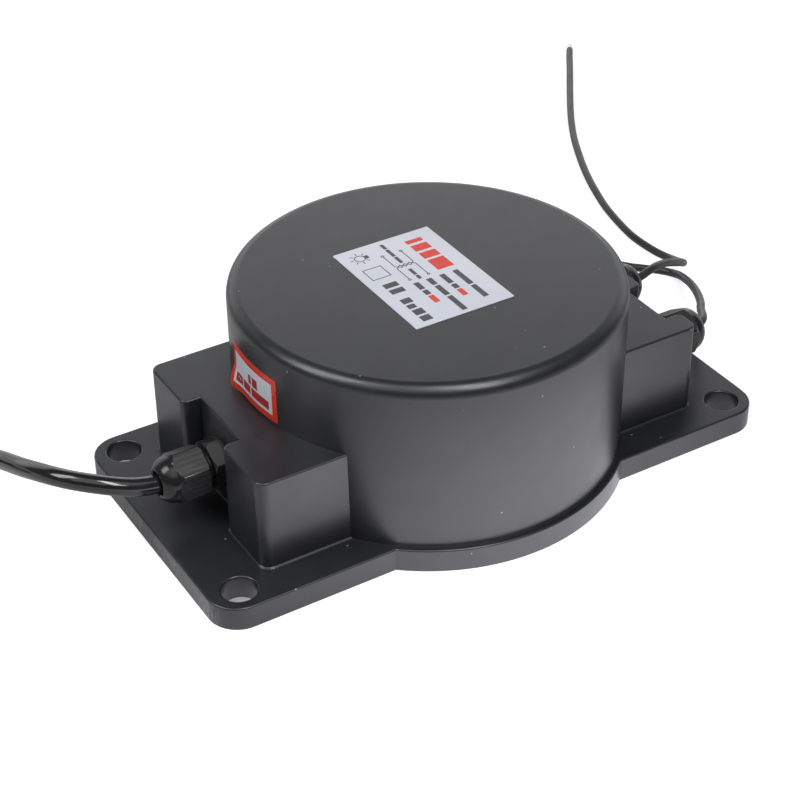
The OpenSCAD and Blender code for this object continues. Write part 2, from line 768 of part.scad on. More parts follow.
module output_lead_coil() {
    way_on = along(lead_coil_angle);
    color([0.06, 0.06, 0.07]) tube(lead_coil_way, lead_r, coil_sides, way_on, way_on);
}

// The tie holds a coil's end down on its start
module coil_tie(way, angle, d) {
    held_w = d + 2 * tie_gap;
    held_h = 2 * d + coil_gap + 2 * tie_gap;
    middle = way[0] + [0, 0, (d + coil_gap) / 2];
    color([0.75, 0.75, 0.72]) translate(middle) rotate([90, 0, angle + 90])
        translate([0, 0, -tie_w / 2]) linear_extrude(tie_w) difference() {
            square([held_w + 2 * tie_t, held_h + 2 * tie_t], center = true);
            square([held_w, held_h], center = true);
        }
}

// A straight piece that goes on from a cord's end, shifted along and across
module onward(way, angle, ahead, aside, r, l) {
    translate(last(way)) rotate([0, 0, angle]) translate([ahead, aside, 0]) rod(r, 0, l);
}

module end_core(side) {
    color(side > 0 ? [0.4, 0.22, 0.12] : [0.12, 0.25, 0.6])
        onward(cable_coil_way, cable_coil_angle, 0, side * (core_r + cast_gap), core_r, core_end_l);
}

module end_tip(side) {
    aside = side * (core_r + cast_gap);
    color([0.8, 0.8, 0.8])
        onward(cable_coil_way, cable_coil_angle, core_end_l, aside, core_wire_d / 2, core_tip_l);
}

module output_lead_tip(way) {
    color([0.8, 0.8, 0.8]) onward(way, end_angle(way), 0, 0, lead_wire_d / 2, lead_tip_l);
}

// Labels

module top_label() {
    color([0.93, 0.93, 0.94]) translate([-top_label_shift, 0, housing_h])
        linear_extrude(label_t) rounded_rect(top_label_x, top_label_y, label_corner_r);
}

module side_label() {
    sweep_angle = side_label_l / drum_r * 180 / PI;
    color([0.93, 0.35, 0.2]) rotate([0, 0, 180 - side_label_turn - sweep_angle / 2])
        rotate_extrude(angle = sweep_angle)
            translate([drum_r, box_top + side_label_gap]) square([label_t, side_label_h]);
}

housing();
potting_compound();
top_pad();
steel_core();
core_insulation();
primary_winding();
inner_tape();
secondary_winding();
outer_tape();
thermal_fuse();
joint_sleeve_input();
joint_sleeve_output(0);  // joint_sleeve_output_a
joint_sleeve_output(1);  // joint_sleeve_output_b
primary_lead(1);  // primary_lead_live
primary_lead(-1);  // primary_lead_neutral
secondary_lead(0);  // secondary_lead_a
secondary_lead(1);  // secondary_lead_b
input_core_piece(1);  // input_core_live
input_core_piece(-1);  // input_core_neutral
at_input() gland_body();  // input_gland_body
at_input() gland_washer();  // input_gland_washer
at_input() lock_nut();  // input_lock_nut
at_input() seal(cable_r);  // input_seal
at_input() dome_nut();  // input_dome_nut
at_output(out_places[0]) gland_body();  // output_gland_body_a
at_output(out_places[0]) gland_washer();  // output_gland_washer_a
at_output(out_places[0]) lock_nut();  // output_lock_nut_a
at_output(out_places[0]) seal(lead_r);  // output_seal_a
at_output(out_places[0]) dome_nut();  // output_dome_nut_a
at_output(out_places[1]) gland_body();  // output_gland_body_b
at_output(out_places[1]) gland_washer();  // output_gland_washer_b
at_output(out_places[1]) lock_nut();  // output_lock_nut_b
at_output(out_places[1]) seal(lead_r);  // output_seal_b
at_output(out_places[1]) dome_nut();  // output_dome_nut_b
at_input() cable_inner();  // input_cable_inner
at_output(out_places[0]) lead_inner();  // output_lead_inner_a
at_output(out_places[1]) lead_inner();  // output_lead_inner_b
input_cable();
input_cable_coil();
coil_tie(cable_coil_way, cable_coil_angle, cable_d);  // input_coil_tie
end_core(1);  // end_core_live
end_core(-1);  // end_core_neutral
end_tip(1);  // end_tip_live
end_tip(-1);  // end_tip_neutral
output_lead(lead_a_route);  // output_lead_a
output_lead_tip(lead_a_route);  // output_lead_tip_a
output_lead(lead_b_route);  // output_lead_b
output_lead_coil();  // output_lead_coil_b
coil_tie(lead_coil_way, lead_coil_angle, lead_d);  // output_coil_tie_b
output_lead_tip(lead_coil_way);  // output_lead_tip_b
top_label();
side_label();
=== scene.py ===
"""Dressed model of a waterproof toroidal transformer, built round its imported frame.

Lengths in the classes are millimetres, as in the part's own source. The frame and every
finished mesh are in metres. X runs along the base plate to the output end, and Z is up.
"""

import json
import logging
import math
from contextlib import contextmanager
from dataclasses import dataclass, field
from enum import Enum
from typing import Callable, Iterator, Sequence

import bmesh
import bpy
from mathutils import Matrix, Vector

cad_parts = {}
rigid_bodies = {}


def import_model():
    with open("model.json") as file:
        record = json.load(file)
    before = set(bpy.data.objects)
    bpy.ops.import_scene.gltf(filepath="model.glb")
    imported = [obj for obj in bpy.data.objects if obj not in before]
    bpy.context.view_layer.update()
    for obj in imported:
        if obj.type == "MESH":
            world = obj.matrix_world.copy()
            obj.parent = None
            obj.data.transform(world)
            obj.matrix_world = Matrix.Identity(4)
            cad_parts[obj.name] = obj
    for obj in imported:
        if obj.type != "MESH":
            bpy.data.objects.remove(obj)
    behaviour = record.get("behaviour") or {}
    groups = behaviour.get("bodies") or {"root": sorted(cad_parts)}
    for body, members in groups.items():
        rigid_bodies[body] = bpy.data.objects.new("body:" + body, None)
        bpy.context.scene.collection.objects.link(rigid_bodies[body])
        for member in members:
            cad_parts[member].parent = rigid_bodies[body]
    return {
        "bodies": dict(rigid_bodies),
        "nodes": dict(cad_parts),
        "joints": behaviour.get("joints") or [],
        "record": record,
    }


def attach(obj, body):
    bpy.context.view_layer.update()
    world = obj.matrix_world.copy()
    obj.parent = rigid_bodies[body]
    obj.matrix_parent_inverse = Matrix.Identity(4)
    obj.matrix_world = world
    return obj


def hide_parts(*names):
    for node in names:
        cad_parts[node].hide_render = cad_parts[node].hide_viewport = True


LOG = logging.getLogger("transformer")
MM = 0.001
HOUSING_BODY = "housing_body"
# Heights and widths that differ by less, in millimetres, count as one.
CLOSE = 0.01
# Step in which a cutting solid runs on past what it cuts, in millimetres.
CUT = 1.0
# Points that lie closer together, in metres, are merged into one.
DOUBLES = 0.000002
Point = tuple[float, float, float]
Pair = tuple[float, float]
Edges = tuple[float, float, float, float]
Test = Callable[[Vector, Vector], bool]
Tree = bpy.types.NodeTree
Socket = bpy.types.NodeSocket


# Making by hand


def only(obj: bpy.types.Object) -> None:
    """Select one object alone and make it the active one.

    Args:
        obj: The object.
    """
    bpy.ops.object.select_all(action="DESELECT")
    obj.select_set(True)
    bpy.context.view_layer.objects.active = obj


def settle(name: str) -> bpy.types.Object:
    """Name the object just added and put its place into its mesh.

    Args:
        name: Name of the piece.

    Returns:
        The object, at the origin, unturned and unscaled.
    """
    obj = bpy.context.active_object
    obj.name = name
    obj.data.name = name
    only(obj)
    bpy.ops.object.transform_apply(location=True, rotation=True, scale=True)
    return obj


@contextmanager
def editing(obj: bpy.types.Object, kind: str = "EDGE") -> Iterator[bmesh.types.BMesh]:
    """Open a mesh for editing with nothing selected, and close it afterwards.

    Args:
        obj: The mesh object.
        kind: What is selected in it: VERT, EDGE or FACE.

    Yields:
        The mesh that is being edited, for choosing its parts by place.
    """
    only(obj)
    bpy.ops.object.mode_set(mode="EDIT")
    bpy.ops.mesh.select_mode(type=kind)
    bpy.ops.mesh.select_all(action="DESELECT")
    yield bmesh.from_edit_mesh(obj.data)
    bpy.ops.object.mode_set(mode="OBJECT")


def block(name: str, low: Point, high: Point) -> bpy.types.Object:
    """Add a box between two corners given in millimetres.

    Args:
        name: Name of the piece.
        low: Lowest corner.
        high: Highest corner.

    Returns:
        The box.
    """
    middle = [(a + b) / 2 * MM for a, b in zip(low, high)]
    bpy.ops.object.select_all(action="DESELECT")
    bpy.ops.mesh.primitive_cube_add(size=1, location=middle)
    bpy.context.active_object.scale = [(b - a) * MM for a, b in zip(low, high)]
    return settle(name)


def rod(
    name: str, radius: float, start: Point, end: Point, sides: int = 64, radius_end: float | None = None
) -> bpy.types.Object:
    """Add a cylinder or cone between two points in millimetres.

    Args:
        name: Name of the piece.
        radius: Radius at the start.
        start: Middle of the first end.
        end: Middle of the other end.
        sides: Number of sides.
        radius_end: Radius at the other end, if it differs.

    Returns:
        The solid.
    """
    a, b = Vector(start) * MM, Vector(end) * MM
    turn = (b - a).to_track_quat("Z", "Y").to_euler()
    bpy.ops.object.select_all(action="DESELECT")
    bpy.ops.mesh.primitive_cone_add(
        vertices=sides,
        radius1=radius * MM,
        radius2=(radius if radius_end is None else radius_end) * MM,
        depth=(b - a).length,
        location=(a + b) / 2,
        rotation=turn,
    )
    return settle(name)


def above(height: float) -> Test:
    """Test for edges that lie at a height in millimetres, or over it."""
    return lambda a, b: min(a.z, b.z) > height - CLOSE


def below(height: float) -> Test:
    """Test for edges that lie at a height in millimetres, or under it."""
    return lambda a, b: max(a.z, b.z) < height + CLOSE


def upright(length: float = 1) -> Test:
    """Test for edges that rise by more than a length in millimetres."""
    return lambda a, b: abs(a.z - b.z) > length


def bevel(obj: bpy.types.Object, test: Test, width: float, segments: int = 3) -> None:
    """Round the true edges whose two ends pass a test.

    Args:
        obj: The mesh object.
        test: Says from both ends, in millimetres, whether an edge is rounded.
        width: Width of the rounding in millimetres.
        segments: Number of segments across it.
    """
    with editing(obj) as mesh:
        for edge in mesh.edges:
            a, b = (v.co / MM for v in edge.verts)
            folded = len(edge.link_faces) == 2 and edge.calc_face_angle() > math.radians(8)
            edge.select_set(folded and test(a, b))
        bmesh.update_edit_mesh(obj.data)
        bpy.ops.mesh.bevel(offset=width * MM, segments=segments, profile=0.5, affect="EDGES")


def combine(obj: bpy.types.Object, other: bpy.types.Object, how: str) -> bpy.types.Object:
    """Join, cut or intersect one solid with another, which is used up.

    Args:
        obj: The solid that stays.
        other: The solid that is used up.
        how: UNION, DIFFERENCE or INTERSECT.

    Returns:
        The solid that stays.
    """
    only(obj)
    step = obj.modifiers.new("solid", "BOOLEAN")
    step.operation = how
    step.solver = "EXACT"
    step.object = other
    bpy.ops.object.modifier_apply(modifier=step.name)
    bpy.data.objects.remove(other)
    return obj


def draw(name: str, points: Sequence[Point]) -> bpy.types.Object:
    """Draw a line of edges by extruding one point along a way.

    Args:
        name: Name of the piece.
        points: The way's points in millimetres.

    Returns:
        The line as a mesh without faces.
    """
    bpy.ops.object.select_all(action="DESELECT")
    bpy.ops.mesh.primitive_plane_add(size=MM, location=[c * MM for c in points[0]])
    obj = settle(name)
    with editing(obj, "VERT"):
        bpy.ops.mesh.select_all(action="SELECT")
        bpy.ops.mesh.merge(type="CENTER")
        for a, b in zip(points, points[1:]):
            step = [(q - p) * MM for p, q in zip(a, b)]
            bpy.ops.mesh.extrude_region_move(TRANSFORM_OT_translate={"value": step})
    return obj


def clean(obj: bpy.types.Object, angle: float = 35) -> None:
    """Merge doubles, point the faces outwards and shade smooth below an angle.

    Args:
        obj: The mesh object.
        angle: Least angle in degrees of an edge that stays sharp.
    """
    with editing(obj, "VERT"):
        bpy.ops.mesh.select_all(action="SELECT")
        bpy.ops.mesh.remove_doubles(threshold=DOUBLES)
        bpy.ops.mesh.normals_make_consistent(inside=False)
    only(obj)
    bpy.ops.object.shade_smooth_by_angle(angle=math.radians(angle))


def turned(
    name: str,
    points: Sequence[Point],
    axis: Point,
    steps: int = 96,
    angle: float = 360,
    center: Point = (0, 0, 0),
) -> bpy.types.Object:
    """Spin a section round an axis, as on a lathe.

    Args:
        name: Name of the piece.
        points: The section's points in millimetres, closed by repeating the first.
        axis: Direction of the axis.
        steps: Steps in the spin.
        angle: Degrees that it goes through.
        center: A point on the axis in millimetres.

    Returns:
        The turned solid.
    """
    obj = draw(name, points)
    with editing(obj, "VERT"):
        bpy.ops.mesh.select_all(action="SELECT")
        bpy.ops.mesh.remove_doubles(threshold=DOUBLES)
        if angle < 360:
            bpy.ops.mesh.edge_face_add()
            axis = tuple(-c for c in axis)
        bpy.ops.mesh.spin(
            steps=steps, angle=math.radians(angle), center=[c * MM for c in center], axis=axis
        )
    clean(obj)
    return obj


def lathed(name: str, section: Sequence[Pair], steps: int) -> bpy.types.Object:
    """Turn a section about the X axis.

    Args:
        name: Name of the piece.
        section: Places along the axis, each with its radius, in millimetres.
        steps: Steps in the turn.

    Returns:
        The turned solid.
    """
    return turned(name, [(x, 0, radius) for x, radius in section], (1, 0, 0), steps)


def swept(
    name: str, section: Sequence[Pair], angles: Pair, steps: int, middle: Pair = (0.0, 0.0)
) -> bpy.types.Object:
    """Turn a section about an upright axis, from one angle to another.

    Args:
        name: Name of the piece.
        section: Radii, each with its height, in millimetres.
        angles: Where it starts and ends, in degrees.
        steps: Steps in the turn.
        middle: Place of the axis.

    Returns:
        The turned solid.
    """
    (x, y), start = middle, math.radians(angles[0])
    c, s = math.cos(start), math.sin(start)
    points = [(x + radius * c, y + radius * s, z) for radius, z in section]
    return turned(name, points, (0, 0, 1), steps, angles[1] - angles[0], (x, y, 0))


def even_normals(obj: bpy.types.Object) -> None:
    """Let wide flat faces set the shading along their rounded edges.

    Args:
        obj: The mesh object.
    """
    only(obj)
    step = obj.modifiers.new("shading", "WEIGHTED_NORMAL")
    step.keep_sharp = True
    step.weight = 90
    bpy.ops.object.modifier_apply(modifier=step.name)


def joined(name: str, parts: Sequence[bpy.types.Object]) -> bpy.types.Object:
    """Join several meshes into one piece.

    Args:
        name: Name of the piece.
        parts: The meshes, of which the first one stays.

    Returns:
        The joined piece.
    """
    bpy.ops.object.select_all(action="DESELECT")
    for part in parts:
        part.select_set(True)
    bpy.context.view_layer.objects.active = parts[0]
    if len(parts) > 1:
        bpy.ops.object.join()
    parts[0].name = name
    parts[0].data.name = name
    return parts[0]


def copied(obj: bpy.types.Object, name: str, place: Matrix) -> bpy.types.Object:
    """Copy a piece, mesh and all, to another place.

    Args:
        obj: The model piece.
        name: Name of the copy.
        place: Where the copy goes, in metres.

    Returns:
        The copy, with its place in its mesh.
    """
    only(obj)
    bpy.ops.object.duplicate(linked=False)
    copy = bpy.context.active_object
    copy.matrix_world = place
    return settle(name)


def rides(obj: bpy.types.Object, body: str, slot: str, *nodes: str) -> None:
    """Put a finished piece on its body and hide the nodes it stands for.

    Args:
        obj: The piece.
        body: The body that carries it.
        slot: The record's material slot; not used.
        nodes: Names of the nodes that it replaces.
    """
    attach(obj, body)
    if nodes:
        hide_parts(*nodes)
    LOG.info("%s on %s, %d faces", obj.name, body, len(getattr(obj.data, "polygons", ())))


# Steps of a material


def noise(tree: Tree, place: Socket, size_mm: float, detail: float = 3) -> Socket:
    """Add a noise of a given grain size.

    Args:
        tree: The node tree.
        place: Coordinates that the noise reads.
        size_mm: Size of its grain in millimetres.
        detail: Octaves of finer grain in it.

    Returns:
        The noise's value.
    """
    grain = tree.nodes.new("ShaderNodeTexNoise")
    grain.inputs["Scale"].default_value = 1 / (size_mm * MM)
    grain.inputs["Detail"].default_value = detail
    tree.links.new(place, grain.inputs["Vector"])
    return grain.outputs["Fac"]


def ranged(
    tree: Tree, value: Socket, low: float, high: float, a: float = 0, b: float = 1, smooth: bool = False
) -> Socket:
    """Map a value from one range to another, clamped.

    Args:
        tree: The node tree.
        value: The value.
        low: Value that gives a.
        high: Value that gives b.
        a: First result.
        b: Last result.
        smooth: Whether the change eases in and out.

    Returns:
        The mapped value.
    """
    ramp = tree.nodes.new("ShaderNodeMapRange")
    if smooth:
        ramp.interpolation_type = "SMOOTHSTEP"
    for label, number in (("From Min", low), ("From Max", high), ("To Min", a), ("To Max", b)):
        ramp.inputs[label].default_value = number
    tree.links.new(value, ramp.inputs["Value"])
    return ramp.outputs["Result"]


def filled(tree: Tree, node: bpy.types.Node, values: Sequence[Socket | float | Sequence[float]]) -> None:
    """Give a node its inputs in order.

    Args:
        tree: The node tree.
        node: The node.
        values: Its inputs, sockets to be linked or values.
    """
    for slot, value in zip(node.inputs, values):
        if isinstance(value, Socket):
            tree.links.new(value, slot)
        else:
            slot.default_value = value


def maths(tree: Tree, how: str, *values: Socket | float) -> Socket:
    """Add one step of arithmetic.

    Args:
        tree: The node tree.
        how: The operation.
        values: Its inputs, sockets or numbers.

    Returns:
        The result.
    """
    node = tree.nodes.new("ShaderNodeMath")
    node.operation = how
    filled(tree, node, values)
    return node.outputs[0]


def vectors(tree: Tree, how: str, *values: Socket | Sequence[float]) -> Socket:
    """Add one step of arithmetic on vectors.

    Args:
        tree: The node tree.
        how: The operation.
        values: Its inputs, sockets or vectors.

    Returns:
        The result: a number for LENGTH and DISTANCE, and a vector for the rest.
    """
    node = tree.nodes.new("ShaderNodeVectorMath")
    node.operation = how
    filled(tree, node, values)
    return node.outputs["Value" if how in ("LENGTH", "DISTANCE") else "Vector"]


def mixed(tree: Tree, share: Socket, a: Socket | Sequence[float], b: Sequence[float]) -> Socket:
    """Mix one colour into another.

    Args:
        tree: The node tree.
        share: Share of the second colour.
        a: First colour.
        b: Second colour.

    Returns:
        The mixed colour.
    """
    mix = tree.nodes.new("ShaderNodeMix")
    mix.data_type = "RGBA"
    tree.links.new(share, mix.inputs["Factor"])
    if isinstance(a, Socket):
        tree.links.new(a, mix.inputs["A"])
    else:
        mix.inputs["A"].default_value = (*a, 1)
    mix.inputs["B"].default_value = (*b, 1)
    return mix.outputs["Result"]


def blended(tree: Tree, share: Socket, a: bpy.types.Node, b: bpy.types.Node, end: str) -> None:
    """Mix two shaders into the output of a node tree.

    Args:
        tree: The node tree.
        share: Share of the second shader.
        a: First shader.
        b: Second shader.
        end: Name of the output node.
    """
    mix = tree.nodes.new("ShaderNodeMixShader")
    filled(tree, mix, (share, a.outputs[0], b.outputs[0]))
    tree.links.new(mix.outputs["Shader"], tree.nodes[end].inputs["Surface"])


# Finishes


class Relief(Enum):
    """Pattern that a finish carries in its surface."""

    GRAIN = "grain"
    RIBS = "ribs"
    TURNS = "turns"
    WRAPS = "wraps"


@dataclass(frozen=True)
class Finish:
    """One surface finish with its colour, gloss, grain, marks and relief."""

    name: str
    colour: Point
    roughness: float = 0.5
    roughness_play: float = 0.05
    metallic: float = 0.0
    specular: float = 0.5
    tint: Point = (1.0, 1.0, 1.0)
    coat: float = 0.0
    play: float = 0.12
    play_mm: float = 12.0
    grain_mm: float = 0.5
    grain_depth_mm: float = 0.01
    wave_mm: float = 8.0
    wave_depth_mm: float = 0.0
    speck_mm: float = 0.0
    speck_size: float = 0.05
    speck_share: float = 0.0
    speck_colour: Point = (0.3, 0.29, 0.27)
    wear_share: float = 0.0
    wear_colour: Point = (0.16, 0.155, 0.145)
    wear_end_mm: Pair = (-98.4, -99.6)
    wear_height_mm: Pair = (8.2, 6.0)
    relief: Relief = Relief.GRAIN
    relief_count: float = 60.0
    relief_depth_mm: float = 0.05

    def material(self) -> bpy.types.Material:
        """Build the finish as a node material.

        Returns:
            The material.
        """
        name = f"{self.name}_finish"
        made = bpy.data.materials.get(name)
        if made:
            return made
        made = bpy.data.materials.new(name)
        made.use_nodes = True
        made.diffuse_color = (*self.colour, 1)
        tree = made.node_tree
        shader = tree.nodes["Principled BSDF"]
        shader.inputs["Metallic"].default_value = self.metallic
        shader.inputs["Specular IOR Level"].default_value = self.specular
        shader.inputs["Specular Tint"].default_value = (*self.tint, 1)
        shader.inputs["Coat Weight"].default_value = self.coat
        shader.inputs["Coat Roughness"].default_value = 0.12
        place = tree.nodes.new("ShaderNodeTexCoord").outputs["Object"]
        self._colour(tree, shader, place)
        self._gloss(tree, shader, place)
        self._surface(tree, shader, place)
        return made

    def _colour(self, tree: Tree, shader: bpy.types.Node, place: Socket) -> None:
        """Colour with slow variation, and small light specks where the finish has them.

        Args:
            tree: The material's node tree.
            shader: Its surface shader.
            place: Object coordinates.
        """
        share = ranged(tree, noise(tree, place, self.play_mm), 0.35, 0.65)
        dark = [c * (1 - self.play) for c in self.colour]
        light = [min(1, c * (1 + self.play)) for c in self.colour]
        colour = mixed(tree, share, dark, light)
        if self.speck_mm:
            cells = tree.nodes.new("ShaderNodeTexVoronoi")
            cells.inputs["Scale"].default_value = 1 / (self.speck_mm * MM)
            tree.links.new(place, cells.inputs["Vector"])
            dots = maths(tree, "LESS_THAN", cells.outputs["Distance"], self.speck_size)
            patchy = noise(tree, place, self.speck_mm * 3, 1)
            chosen = maths(tree, "GREATER_THAN", patchy, 1 - self.speck_share)
            seen = maths(tree, "MULTIPLY", dots, chosen)
            colour = mixed(tree, seen, colour, self.speck_colour)
        if self.wear_share:
            colour = mixed(tree, self._wear(tree, place), colour, self.wear_colour)
        tree.links.new(colour, shader.inputs["Base Color"])

    def _wear(self, tree: Tree, place: Socket) -> Socket:
        """Upright rub marks on the end of the base plate.

        Args:
            tree: The material's node tree.
            place: Object coordinates.

        Returns:
            Share of the marks' colour, from 0 to 1.
        """
        upright_place = vectors(tree, "MULTIPLY", place, (1, 1, 0.25))
        streaks = ranged(tree, noise(tree, upright_place, 0.9, 5), 0.46, 0.62)
        patches = ranged(tree, noise(tree, place, 16, 2), 0.42, 0.56)
        parts = tree.nodes.new("ShaderNodeSeparateXYZ")
        tree.links.new(place, parts.inputs[0])
        end = ranged(tree, parts.outputs[0], *(x * MM for x in self.wear_end_mm))
        low = ranged(tree, parts.outputs[2], *(z * MM for z in self.wear_height_mm))
        seen = maths(tree, "MULTIPLY", streaks, patches)
        seen = maths(tree, "MULTIPLY", seen, maths(tree, "MULTIPLY", end, low))
        return maths(tree, "MULTIPLY", seen, self.wear_share)

    def _gloss(self, tree: Tree, shader: bpy.types.Node, place: Socket) -> None:
        """Roughness that varies slowly over the surface.

        Args:
            tree: The material's node tree.
            shader: Its surface shader.
            place: Object coordinates.
        """
        low, high = self.roughness - self.roughness_play, self.roughness + self.roughness_play
        wear = noise(tree, place, self.play_mm * 0.7, 4)
        tree.links.new(ranged(tree, wear, 0.3, 0.7, low, high), shader.inputs["Roughness"])

    def _surface(self, tree: Tree, shader: bpy.types.Node, place: Socket) -> None:
        """Fine grain, slow waves and the relief, as bump.

        Args:
            tree: The material's node tree.
            shader: Its surface shader.
            place: Object coordinates.
        """
        layers = [(noise(tree, place, self.grain_mm, 4), self.grain_depth_mm)]
        if self.wave_depth_mm:
            layers.append((noise(tree, place, self.wave_mm, 1), self.wave_depth_mm))
        relief = self._relief(tree, place)
        if relief is not None:
            layers.append((relief, self.relief_depth_mm))
        normal = None
        for height, depth in layers:
            bump = tree.nodes.new("ShaderNodeBump")
            bump.inputs["Distance"].default_value = depth * MM
            tree.links.new(height, bump.inputs["Height"])
            if normal is not None:
                tree.links.new(normal, bump.inputs["Normal"])
            normal = bump.outputs["Normal"]
        tree.links.new(normal, shader.inputs["Normal"])

    def _relief(self, tree: Tree, place: Socket) -> Socket | None:
        """Height of the finish's pattern.

        Args:
            tree: The material's node tree.
            place: Object coordinates.

        Returns:
            The height, or None for a plain grain.
        """
        if self.relief is Relief.GRAIN:
            return None
        parts = tree.nodes.new("ShaderNodeSeparateXYZ")
        if self.relief is Relief.RIBS:
            flat = tree.nodes.new("ShaderNodeTexCoord").outputs["UV"]
            tree.links.new(flat, parts.inputs[0])
            way = parts.outputs[0]
        else:
            tree.links.new(place, parts.inputs[0])
            turn = maths(tree, "ARCTAN2", parts.outputs[1], parts.outputs[0])
            way = maths(tree, "DIVIDE", turn, 2 * math.pi)
            if self.relief is Relief.WRAPS:
                lean = maths(tree, "MULTIPLY", parts.outputs[2], 12)
                way = maths(tree, "ADD", way, lean)
        wave = maths(tree, "SINE", maths(tree, "MULTIPLY", way, self.relief_count * 2 * math.pi))
        if self.relief is Relief.WRAPS:
            return maths(tree, "GREATER_THAN", wave, 0.0)
        return wave


HOUSING_FINISH = Finish(
    "housing_plastic",
    (0.0175, 0.0183, 0.0205),
    roughness=0.33,
    roughness_play=0.03,
    specular=0.85,
    tint=(0.94, 0.94, 1.0),
    play=0.1,
    grain_mm=0.35,
    grain_depth_mm=0.0045,
    wave_mm=26,
    wave_depth_mm=0.02,
    speck_mm=6.5,
    speck_size=0.05,
    speck_share=0.52,
    speck_colour=(0.27, 0.27, 0.26),
    wear_share=0.75,
)
POTTING_FINISH = Finish(
    "potting_resin", (0.018, 0.018, 0.019), roughness=0.22, play=0.2, wave_mm=18, wave_depth_mm=0.5
)
RUBBER_FINISH = Finish(
    "rubber_black", (0.014, 0.014, 0.014), roughness=0.7, grain_mm=0.3, grain_depth_mm=0.02
)
GLAND_FINISH = Finish(
    "gland_nylon", (0.02, 0.02, 0.0215), roughness=0.34, grain_mm=0.4, grain_depth_mm=0.006, play=0.15
)
NUT_GLOSS_FINISH = Finish(
    "gland_nylon_gloss", (0.016, 0.016, 0.018), roughness=0.16, grain_mm=0.8, grain_depth_mm=0.003, play=0.1
)
NUT_RIB_FINISH = Finish(
    "gland_nylon_ribbed",
    (0.024, 0.024, 0.026),
    roughness=0.5,
    grain_mm=0.3,
    grain_depth_mm=0.01,
    relief=Relief.RIBS,
    relief_count=30,
    relief_depth_mm=0.02,
)
STEEL_FINISH = Finish(
    "core_steel",
    (0.5, 0.51, 0.54),
    roughness=0.35,
    metallic=1,
    relief=Relief.WRAPS,
    relief_count=3,
    relief_depth_mm=0.05,
)
TAPE_FINISH = Finish(
    "wrap_film",
    (0.8, 0.72, 0.36),
    roughness=0.3,
    coat=0.4,
    relief=Relief.WRAPS,
    relief_count=24,
    relief_depth_mm=0.12,
)
WIRE_FINISH = Finish(
    "enamelled_wire",
    (0.55, 0.2, 0.07),
    roughness=0.25,
    metallic=0.7,
    coat=0.6,
    relief=Relief.TURNS,
    relief_count=150,
    relief_depth_mm=0.4,
)
FUSE_FINISH = Finish("fuse_case", (0.72, 0.71, 0.66), roughness=0.3, grain_mm=0.8)
SLEEVE_FINISH = Finish("sleeve_plastic", (0.016, 0.016, 0.016), roughness=0.5, wave_mm=2, wave_depth_mm=0.05)
CABLE_FINISH = Finish(
    "cable_jacket",
    (0.012, 0.012, 0.0135),
    roughness=0.13,
    specular=0.9,
    play=0.15,
    grain_mm=0.6,
    grain_depth_mm=0.004,
    wave_mm=5,
    wave_depth_mm=0.03,
)
LEAD_FINISH = Finish(
    "lead_jacket",
    (0.03, 0.03, 0.032),
    roughness=0.36,
    play=0.15,
    grain_mm=0.3,
    grain_depth_mm=0.006,
    wave_mm=4,
    wave_depth_mm=0.02,
)
BROWN_FINISH = Finish("core_brown", (0.16, 0.06, 0.028), roughness=0.35, grain_mm=0.4)
BLUE_FINISH = Finish("core_blue", (0.025, 0.075, 0.34), roughness=0.35, grain_mm=0.4)
TINNED_FINISH = Finish("tinned_wire", (0.74, 0.74, 0.75), roughness=0.3, metallic=1, grain_mm=0.3)
TIE_FINISH = Finish("tie_plastic", (0.68, 0.68, 0.66), roughness=0.4, grain_mm=0.5)
LABEL_FINISH = Finish(
    "label_white",
    (0.69, 0.715, 0.79),
    roughness=0.35,
    specular=0.4,
    play=0.015,
    play_mm=25,
    grain_mm=0.6,
    grain_depth_mm=0.002,
    wave_mm=9,
    wave_depth_mm=0.02,
    speck_mm=6,
    speck_share=0.3,
    speck_colour=(0.4, 0.42, 0.45),
)
BLACK_INK = Finish(
    "ink_black", (0.065, 0.065, 0.075), roughness=0.4, play=0.1, grain_mm=0.3, grain_depth_mm=0.002
)
RED_INK = Finish("ink_red", (0.74, 0.06, 0.04), roughness=0.4, play=0.06, grain_mm=0.3, grain_depth_mm=0.002)
DARK_RED_INK = Finish("ink_dark_red", (0.42, 0.03, 0.03), roughness=0.4, play=0.08, grain_mm=0.3)
ORANGE_INK = Finish(
    "ink_orange", (0.75, 0.05, 0.022), roughness=0.3, play=0.06, grain_mm=0.5, grain_depth_mm=0.002
)
SLOT_FINISHES = {
    "housing_plastic": HOUSING_FINISH,
    "potting_resin": POTTING_FINISH,
    "rubber_black": RUBBER_FINISH,
    "gland_nylon": GLAND_FINISH,
    "core_steel": STEEL_FINISH,
    "wrap_film": TAPE_FINISH,
    "enamelled_wire": WIRE_FINISH,
    "fuse_case": FUSE_FINISH,
    "sleeve_plastic": SLEEVE_FINISH,
    "cord_plastic": LEAD_FINISH,
    "core_brown": BROWN_FINISH,
    "core_blue": BLUE_FINISH,
    "tinned_wire": TINNED_FINISH,
    "tie_plastic": TIE_FINISH,
    "label_white": LABEL_FINISH,
}


def dress(obj: bpy.types.Object, *finishes: Finish) -> None:
    """Give an object its finishes, one for each of its material slots.

    Args:
        obj: The object.
        finishes: Its finishes in the order of its slots.
    """
    obj.data.materials.clear()
    for finish in finishes:
        obj.data.materials.append(finish.material())


# Studio


